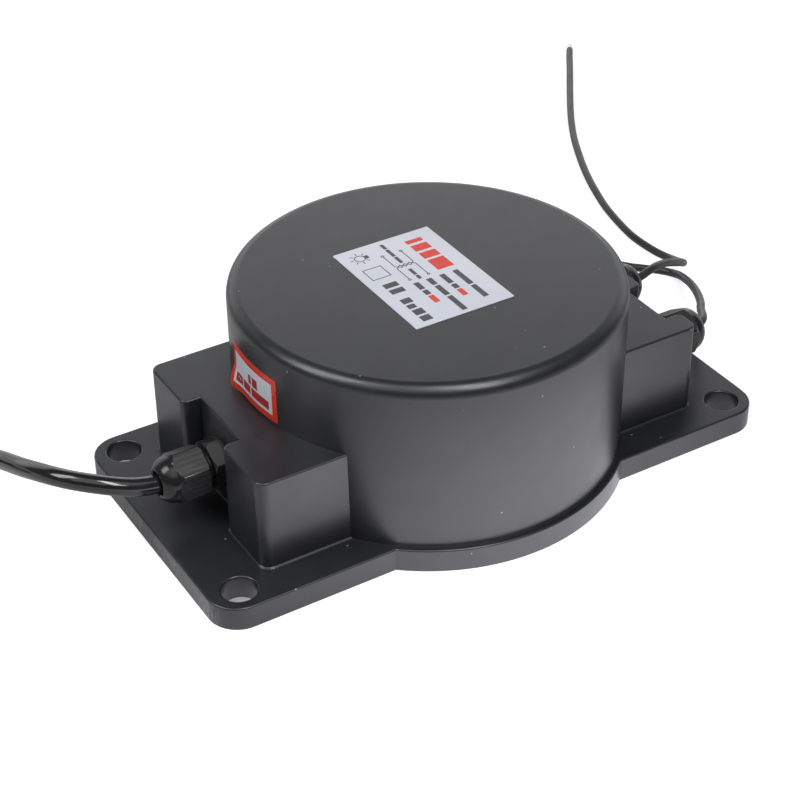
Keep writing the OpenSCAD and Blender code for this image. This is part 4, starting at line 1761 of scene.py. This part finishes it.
    def body(self) -> bpy.types.Object:
        """Gland body: hexagon, threads and bore.

        Returns:
            The body.
        """
        root, bore = self.root_radius, self.bore_radius
        wall_thread, _ = self.thread(self.inner_end + 0.3, 0)
        nut_thread, end = self.thread(self.hex_end, self.thread_end, 0.1)
        outline = [
            (self.inner_end, bore), (self.inner_end, root), *wall_thread, (-0.5, root), (2, root),
            (self.hex_end, root), *nut_thread, (end, root), (self.fingers_end - 0.4, root),
            (self.fingers_end, root - 0.3), (self.fingers_end, self.fingers_bore),
            (self.fingers_root, self.fingers_bore), (self.fingers_root, bore), (self.inner_end, bore),
        ]  # fmt: skip
        body = lathed("gland", outline, self.body_sides)
        near, far = self.washer_end, self.hex_end
        grip = self.hexagon("grip", near, far)
        face = [
            (near, 0), (near, self.hex_rim), (near + 0.5, self.hex_round),
            (far - 0.7, self.hex_round), (far, self.hex_rim - 0.2), (far, 0),
        ]  # fmt: skip
        combine(grip, lathed("face", face, self.body_sides), "INTERSECT")
        combine(grip, rod("core", root - 0.2, (0, 0, 0), (far + CUT, 0, 0), self.body_sides), "DIFFERENCE")
        clean(grip, 24)
        body = joined("gland", [body, grip])
        dress(body, GLAND_FINISH)
        return body

    def thread(self, start: float, end: float, root_shift: float = 0.0) -> tuple[list[Pair], float]:
        """Outline of the threads' crests and roots, one pitch after the other.

        Args:
            start: Where the first thread starts.
            end: Where the last one has to end.
            root_shift: How far each root lies past its pitch's start.

        Returns:
            The outline, and where the last thread ends.
        """
        crest, root, pitch = self.thread_radius, self.root_radius, self.pitch
        outline, x = [], start
        while x + pitch < end:
            outline += [(x + root_shift, root), (x + pitch * 0.4, crest), (x + pitch * 0.6, crest)]
            x += pitch
        return outline, x

    def washer(self) -> bpy.types.Object:
        """Sealing washer with rounded edges.

        Returns:
            The washer.
        """
        inner, outer, edge = self.washer_bore, self.washer_radius, self.washer_edge
        start, end = self.washer_start, self.washer_end
        section = [
            (start, inner), (start, outer - edge), (edge, outer), (end - edge, outer),
            (end, outer - edge), (end, inner), (start, inner),
        ]  # fmt: skip
        washer = lathed("washer", section, self.body_sides)
        dress(washer, RUBBER_FINISH)
        return washer


# Labels


@dataclass
class TopLabel:
    """White label on top of the drum with plain bars and simple symbols."""

    middle: Pair = (-2.0, 0.0)
    size: Pair = (35.0, 50.0)
    base: float = 65.5
    thickness: float = 0.2
    corner: float = 0.3
    edge: float = 0.06
    ink: float = 0.03
    line: float = 0.32
    black_bars: Sequence[Edges] = (
        (-2.6, -12.0, 9.3, 7.4),
        (-12.9, -20.5, 9.3, 7.4),
        (-2.6, -8.4, 4.4, 2.5),
        (-9.3, -11.9, 4.4, 2.5),
        (-2.6, -6.6, -0.3, -2.2),
        (-7.4, -13.6, -0.3, -2.2),
        (-14.5, -23.4, -0.3, -2.2),
        (-2.6, -6.9, -5.0, -6.9),
        (-7.7, -10.4, -5.0, -6.9),
        (22.7, 19.6, -2.6, -3.8),
        (19.1, 14.4, -2.6, -3.8),
        (13.9, 9.9, -2.6, -3.8),
        (5.4, 1.6, -2.6, -3.8),
        (1.1, -1.2, -2.6, -3.8),
        (1.6, -1.0, -10.6, -15.5),
        (-2.2, -4.8, -10.6, -15.5),
        (-8.6, -11.4, -12.0, -15.5),
        (-12.3, -14.6, -12.7, -15.5),
        (-15.5, -18.7, -12.0, -15.5),
        (-19.6, -22.6, -12.0, -15.5),
    )
    red_bars: Sequence[Edges] = (
        (20.4, 18.3, 10.0, 4.1),
        (16.9, 13.1, 10.0, 4.1),
        (11.8, 8.0, 10.0, 4.1),
        (6.8, 0.2, 10.0, 4.1),
        (-12.6, -16.6, 4.4, 2.5),
        (-11.2, -15.5, -5.0, -6.9),
    )
    lamp_middle: Pair = (18.8, -13.2)
    lamp_radius: float = 1.7
    lamp_rays: Pair = (2.35, 3.2)
    lamp_foot: Point = (0.9, 1.7, 3.1)
    outline: Edges = (11.9, 5.4, -9.9, -16.3)
    coil_rows: Pair = (0.3, -6.4)
    coil_ends: Pair = (16.3, -0.1)
    coil_faces: Pair = (9.2, 7.2)
    coil_arcs: int = 4
    coil_ring: float = 0.42
    coil_lead_gap: float = 0.5

    def build(self) -> None:
        """Build the label and its print."""
        x, y = self.middle
        dx, dy = (s / 2 for s in self.size)
        top = self.base + self.thickness
        label = block("top_label_sheet", (x - dx, y - dy, self.base), (x + dx, y + dy, top))
        bevel(label, upright(self.thickness / 2), self.corner, 4)
        bevel(label, above(top), self.edge, 2)
        clean(label, 40)
        dress(label, LABEL_FINISH)
        rides(label, HOUSING_BODY, "label_white", "top_label")
        black = [self.bar(b) for b in self.black_bars] + self.lamp() + self.frame() + self.coils()
        red = [self.bar(b) for b in self.red_bars]
        for name, parts, finish in (
            ("top_label_print_black", black, BLACK_INK),
            ("top_label_print_red", red, RED_INK),
        ):
            piece = joined(name, parts)
            dress(piece, finish)
            rides(piece, HOUSING_BODY, "label_white")

    def bar(self, edges: Edges) -> bpy.types.Object:
        """One printed bar.

        Args:
            edges: Its limits across and along the plate.

        Returns:
            The bar.
        """
        y0, y1, x0, x1 = edges
        top = self.base + self.thickness
        return block("bar", (x1, y1, top), (x0, y0, top + self.ink))

    def stroke(self, start: Pair, end: Pair) -> bpy.types.Object:
        """One thin printed line.

        Args:
            start: Across and along the plate, where it starts.
            end: Where it ends.

        Returns:
            The line.
        """
        (y0, x0), (y1, x1) = start, end
        way = Vector((x1 - x0, y1 - y0, 0))
        middle = Vector(((x0 + x1) / 2, (y0 + y1) / 2, self.base + self.thickness + self.ink / 2))
        turn = (0, 0, math.atan2(way.y, way.x))
        bpy.ops.object.select_all(action="DESELECT")
        bpy.ops.mesh.primitive_cube_add(size=1, location=middle * MM, rotation=turn)
        bpy.context.active_object.scale = Vector((way.length + self.line, self.line, self.ink)) * MM
        return settle("stroke")

    def ring(
        self, middle: Pair, radius: float, steps: int = 24, angles: Pair = (0, 360)
    ) -> bpy.types.Object:
        """One printed ring or arc.

        Args:
            middle: Across and along the plate.
            radius: Its radius.
            steps: Steps round it.
            angles: Where it starts and ends.

        Returns:
            The ring.
        """
        low, high = self.base + self.thickness, self.base + self.thickness + self.ink
        inner, outer = radius - self.line / 2, radius + self.line / 2
        section = [(inner, low), (outer, low), (outer, high), (inner, high), (inner, low)]
        return swept("ring", section, angles, steps, (middle[1], middle[0]))

    def lamp(self) -> list[bpy.types.Object]:
        """Simple lamp symbol: a ring with rays and a foot.

        Returns:
            Its strokes.
        """
        y, x = self.lamp_middle
        near, far = self.lamp_rays
        parts = [self.ring(self.lamp_middle, self.lamp_radius, 32)]
        for degrees in (0, 45, 135, 180, 225, 270, 315):
            c, s = math.cos(math.radians(degrees)), math.sin(math.radians(degrees))
            parts.append(self.stroke((y + near * c, x + near * s), (y + far * c, x + far * s)))
        half, near, far = self.lamp_foot
        parts.append(self.bar((y + half, y - half, x + far, x + near)))
        return parts

    def frame(self) -> list[bpy.types.Object]:
        """Plain square outline.

        Returns:
            Its strokes.
        """
        y0, y1, x0, x1 = self.outline
        corners = [(y0, x0), (y1, x0), (y1, x1), (y0, x1), (y0, x0)]
        return [self.stroke(a, b) for a, b in zip(corners, corners[1:])]

    def coils(self) -> list[bpy.types.Object]:
        """Simple winding symbol: two rows of arcs with a lead and a ring at each end.

        Returns:
            Its strokes.
        """
        parts = []
        high, low = self.coil_rows
        pitch = (high - low) / self.coil_arcs
        for face, end in zip(self.coil_faces, self.coil_ends):
            way = math.copysign(1, end - face)
            for row in (high, low):
                parts.append(self.ring((end, row), self.coil_ring, 20))
                parts.append(self.stroke((end - way * self.coil_lead_gap, row), (face, row)))
            for i in range(self.coil_arcs):
                middle = (face, high - pitch * (i + 0.5))
                parts.append(self.ring(middle, pitch / 2, 10, (180, 360) if way > 0 else (0, 180)))
        return parts


@dataclass
class SideLabel:
    """Orange-bordered label on the drum's side above the input box, with one corner loose."""

    radius: float = 62.5
    thickness: float = 0.2
    low: float = 39.9
    high: float = 55.2
    start: float = 167.65
    end: float = 192.35
    border: float = 2.2
    ink: float = 0.03
    lift: float = 1.8
    lift_reach: float = 9.0
    lift_grip: float = 0.6
    rows: int = 8
    bars: Sequence[Edges] = (
        (178.6, 180.0, 46.9, 50.2),
        (180.7, 183.4, 46.9, 50.2),
        (170.9, 174.6, 43.2, 46.2),
        (175.2, 179.4, 43.2, 46.2),
        (180.1, 188.9, 43.2, 46.2),
    )

    def patch(
        self, name: str, angles: Pair, heights: Pair, inner: float, outer: float
    ) -> bpy.types.Object:
        """Curved patch that lies on the drum.

        Args:
            name: Name of the piece.
            angles: Where it starts and ends, in degrees.
            heights: Its lower and upper edge.
            inner: Radius of its back.
            outer: Radius of its face.

        Returns:
            The patch.
        """
        low, high = heights
        rows = max(1, round(self.rows * (high - low) / (self.high - self.low)))
        levels = [low + (high - low) * i / rows for i in range(rows + 1)]
        section = [(outer, z) for z in levels] + [(inner, z) for z in reversed(levels)]
        steps = max(2, round(angles[1] - angles[0]))
        return swept(name, [*section, section[0]], angles, steps)

    def build(self) -> None:
        """Build the label, its panel and its print, and lift the loose corner."""
        outer = self.radius + self.thickness
        sheet = self.patch("sheet", (self.start, self.end), (self.low, self.high), self.radius, outer)
        dress(sheet, ORANGE_INK)
        step = math.degrees(self.border / self.radius)
        inside = (self.start + step, self.end - step)
        levels = (self.low + self.border, self.high - self.border)
        panel = self.patch("panel", inside, levels, outer, outer + self.ink)
        dress(panel, LABEL_FINISH)
        bars = [
            self.patch("bar", (a, b), (low, high), outer + self.ink, outer + 2 * self.ink)
            for a, b, low, high in self.bars
        ]
        for bar in bars:
            dress(bar, DARK_RED_INK)
        label = joined("side_label_sheet", [sheet, panel, *bars])
        self.loosen(label)
        rides(label, HOUSING_BODY, "label_white", "side_label")

    def loosen(self, label: bpy.types.Object) -> None:
        """Lift the lower corner at the label's far end off the drum.

        Args:
            label: The whole label.
        """
        turn = math.radians(self.start)
        out = Vector((math.cos(turn), math.sin(turn), 0))
        corner = (out * self.radius + Vector((0, 0, self.low))) * MM
        with editing(label, "VERT") as mesh:
            for vert in mesh.verts:
                vert.select_set((vert.co - corner).length < self.lift_grip * MM)
            bmesh.update_edit_mesh(label.data)
            bpy.ops.transform.translate(
                value=out * self.lift * MM,
                use_proportional_edit=True,
                proportional_edit_falloff="SMOOTH",
                proportional_size=self.lift_reach * MM,
            )


# Assembly


def dress_nodes(frame: dict) -> None:
    """Give every node of the frame the finish of its slot.

    Args:
        frame: The loaded frame.
    """
    slots = {part["node"]: part["material_slot"] for part in frame["record"]["subparts"]}
    for name, obj in frame["nodes"].items():
        finish = SLOT_FINISHES[slots[name]]
        material = finish.material()
        for slot in obj.material_slots:
            slot.material = material


def main() -> None:
    """Build the dressed model in order and report each piece."""
    logging.basicConfig(level=logging.INFO, format="%(message)s")
    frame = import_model()
    bpy.ops.object.select_all(action="DESELECT")
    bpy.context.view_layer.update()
    Studio().build()
    Cords().build(frame)
    dress_nodes(frame)
    Housing().build()
    CableGlands().build()
    TopLabel().build()
    SideLabel().build()


if __name__ == "__main__":
    main()
